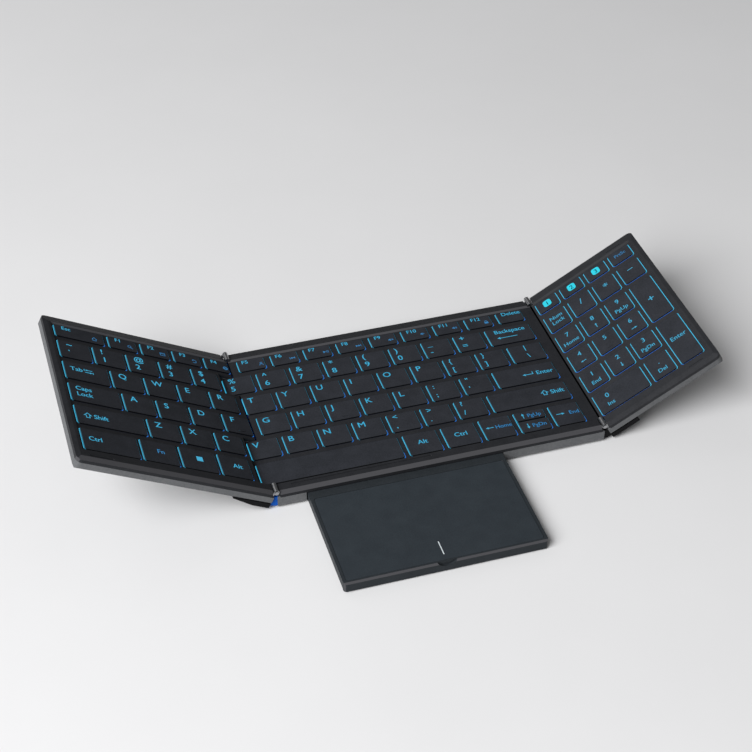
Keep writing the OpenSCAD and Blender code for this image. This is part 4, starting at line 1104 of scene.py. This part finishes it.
def gap_boxes():
    """(panel, left edge, right edge, near edge, far edge) of every cap."""
    for row in ROWS:
        for panel, caps in ((LEFT, left_caps(row)), (CENTRE, centre_caps(row)), (RIGHT, pad_caps(row))):
            for start, end in caps:
                yield panel, start, end, row_start(row), row_end(row)
    yield RIGHT, TALL_CAP[0], TALL_CAP[1], row_start(SPACE), row_end(LOWER)
    yield RIGHT, TALL_CAP[0], TALL_CAP[1], row_start(HOME), row_end(UPPER)


def corner(x, y, first, steps=3):
    """Points of a strip's inner and outer edge round a cap's corner, from an angle on."""
    turns = [math.radians(first + 90 * i / steps) for i in range(steps + 1)]
    radii = (CAP_CORNER + LIGHT_CLEAR, CAP_CORNER + CAP_CLEAR - LIGHT_CLEAR)
    return [[(x + r * math.cos(t), y + r * math.sin(t)) for t in turns] for r in radii]


def band(sign, inner, outer):
    """A strip between two lines of points, as a run of thin blocks."""
    for a, b, c, d in zip(inner, outer, outer[1:], inner[1:]):
        sign.fill([a, b, c, d])


def gap_lights():
    """Strips of light in the gap round each cap, one piece for each side and panel."""
    strips = {
        (panel, side): Print(panel, LIGHT_Z, LIGHT_THICK) for panel in PANELS for side in GAP_LOOKS
    }
    for panel, x0, x1, y0, y1 in gap_boxes():
        west, east = x0 + CAP_CORNER, x1 - CAP_CORNER
        near, far = y0 + CAP_CORNER, y1 - CAP_CORNER
        corners = {
            "front_right": corner(east, near, -90),
            "back_right": corner(east, far, 0),
            "back_left": corner(west, far, 90),
            "front_left": corner(west, near, 180),
        }
        for side, (one, two) in SIDE_ENDS.items():
            inner = [corners[one][0][-1], corners[two][0][0]]
            outer = [corners[one][1][-1], corners[two][1][0]]
            if side == "right" and panel is not RIGHT:
                end = near + GLINT_SHARE * (far - near)
                inner[1] = (inner[1][0], end)
                outer[1] = (outer[1][0], end)
            band(strips[panel, side], inner, outer)
        for name, side in CORNER_SIDES.items():
            if panel is RIGHT or name != "back_right":
                band(strips[panel, side], *corners[name])
    for (panel, side), strip in strips.items():
        looks = PAD_GAP_LOOKS if panel is RIGHT else GAP_LOOKS
        strip.finish(f"{panel.name}_gap_light_{side}", looks[side], "light_guide")


gap_lights()

# ---- Rubber domes, split by the keys that press them flat ----

KEY_TRAVEL = 1.0
PRESS_PLAY = 0.04
DOME_PLAY = 0.05
SHEET_TOP = CAP_RIM - KEY_TRAVEL - PRESS_PLAY


def key_body(panel, x, y):
    """The body of the cap that stands over a point of a panel."""
    row = max([r for r in ROWS if y > row_start(r) - ROW_GAP / 2], default=SPACE)
    if panel is RIGHT and row < NUMBER and x > TALL_CAP[0]:
        return "right_tall_keys"
    if panel is CENTRE and row == SPACE and x < centre_caps(SPACE)[0][1]:
        return "space_bar"
    return row_node(panel, row)


def split_dome_sheet(panel):
    """Splits a panel's dome sheet into a piece of domes for each key body above them and the flat film,
    all on the panel's body, and hides the sheet.
    """
    node = panel.name + "_dome_sheet"
    to_metres = panel.matrix @ Matrix.Scale(MM, 4)
    whole = bmesh.new()
    whole.from_mesh(nodes[node].data)
    whole.transform(to_metres.inverted())
    groups = {}
    for face in whole.faces:
        centre = face.calc_center_median()
        domed = max(vert.co.z for vert in face.verts) > SHEET_TOP + DOME_PLAY
        body = key_body(panel, centre.x, centre.y) if domed else None
        groups.setdefault(body, set()).add(face.index)
    for body, kept in groups.items():
        part = whole.copy()
        others = [face for face in part.faces if face.index not in kept]
        bmesh.ops.delete(part, geom=others, context="FACES")
        part.transform(to_metres)
        name = body + "_domes" if body else node + "_film"
        data = bpy.data.meshes.new(name)
        part.to_mesh(data)
        part.free()
        piece = bpy.data.objects.new(name, data)
        bpy.context.scene.collection.objects.link(piece)
        dress(piece, "dome_silicone")
        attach(piece, panel.body)
        if body:
            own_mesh(piece)
        else:
            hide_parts(node)
    whole.free()


for panel in PANELS:
    split_dome_sheet(panel)

# ---- Touchpad ----

PAD_MARK_X = 68.0
PAD_MARK_NEAR = -60.7
PAD_MARK_FAR = -51.7
PAD_MARK_WIDTH = 0.5


def touchpad_mark():
    """A thin line on the touch surface."""
    mark = Print(CENTRE, PAD_TOP)
    half = PAD_MARK_WIDTH / 2
    mark.box(PAD_MARK_X - half, PAD_MARK_NEAR, PAD_MARK_X + half, PAD_MARK_FAR)
    mark.finish("touchpad_mark", "pad_mark", "touch_surface", "touch_plate")


touchpad_mark()

# ---- Studio: metres, watts, degrees, and millimetres for the lens ----

FLOOR_SIZE = 8.0
FLOOR_DARK = "#dcdcdd"
FLOOR_LIGHT = "#e0e0e1"
FLOOR_GRAIN = [6] * 3
FLOOR_ROUGH = (0.7, 0.8)
WORLD_LIGHT = 0.15
KEY_LIGHT_PLACE = (-1.5, -1.0, 1.5)
KEY_LIGHT_SIZE = 1.6
KEY_LIGHT_POWER = 81
RIM_LIGHT_PLACE = (-0.8, 1.5, 1.4)
RIM_LIGHT_SIZE = 1.4
RIM_LIGHT_POWER = 3
CAMERA_PLACE = (-0.222846, -0.716427, 0.595165)
CAMERA_TURN = (50.7313, -0.1193, -16.8341)
CAMERA_LENS = 81.263
SENSOR = 36


def floor():
    bpy.ops.mesh.primitive_plane_add(size=FLOOR_SIZE, location=(0, 0, 0))
    plane = bpy.context.object
    plane.name = "studio_floor"
    made = grained("studio_floor", FLOOR_DARK, FLOOR_LIGHT, FLOOR_GRAIN, FLOOR_ROUGH, bump=0.0)
    plane.data.materials.append(made.material)


def area_light(name, place, size, power):
    """A square light that faces the origin."""
    light = bpy.data.lights.new(name, "AREA")
    light.size = size
    light.energy = power
    obj = bpy.data.objects.new(name, light)
    obj.location = place
    obj.rotation_euler = (-Vector(place)).to_track_quat("-Z", "Y").to_euler()
    bpy.context.scene.collection.objects.link(obj)


def world():
    """Even white light from all round."""
    made = bpy.data.worlds.new("studio")
    made.use_nodes = True
    bpy.context.scene.world = made
    background = made.node_tree.nodes["Background"]
    background.inputs["Color"].default_value = (1, 1, 1, 1)
    background.inputs["Strength"].default_value = WORLD_LIGHT


def camera():
    data = bpy.data.cameras.new("camera")
    data.lens = CAMERA_LENS
    data.sensor_width = SENSOR
    data.sensor_fit = "HORIZONTAL"
    obj = bpy.data.objects.new("camera", data)
    obj.location = CAMERA_PLACE
    obj.rotation_euler = [math.radians(turn) for turn in CAMERA_TURN]
    bpy.context.scene.collection.objects.link(obj)
    bpy.context.scene.camera = obj


floor()
world()
area_light("key_light", KEY_LIGHT_PLACE, KEY_LIGHT_SIZE, KEY_LIGHT_POWER)
area_light("rim_light", RIM_LIGHT_PLACE, RIM_LIGHT_SIZE, RIM_LIGHT_POWER)
camera()
bpy.context.scene.view_settings.view_transform = "Standard"
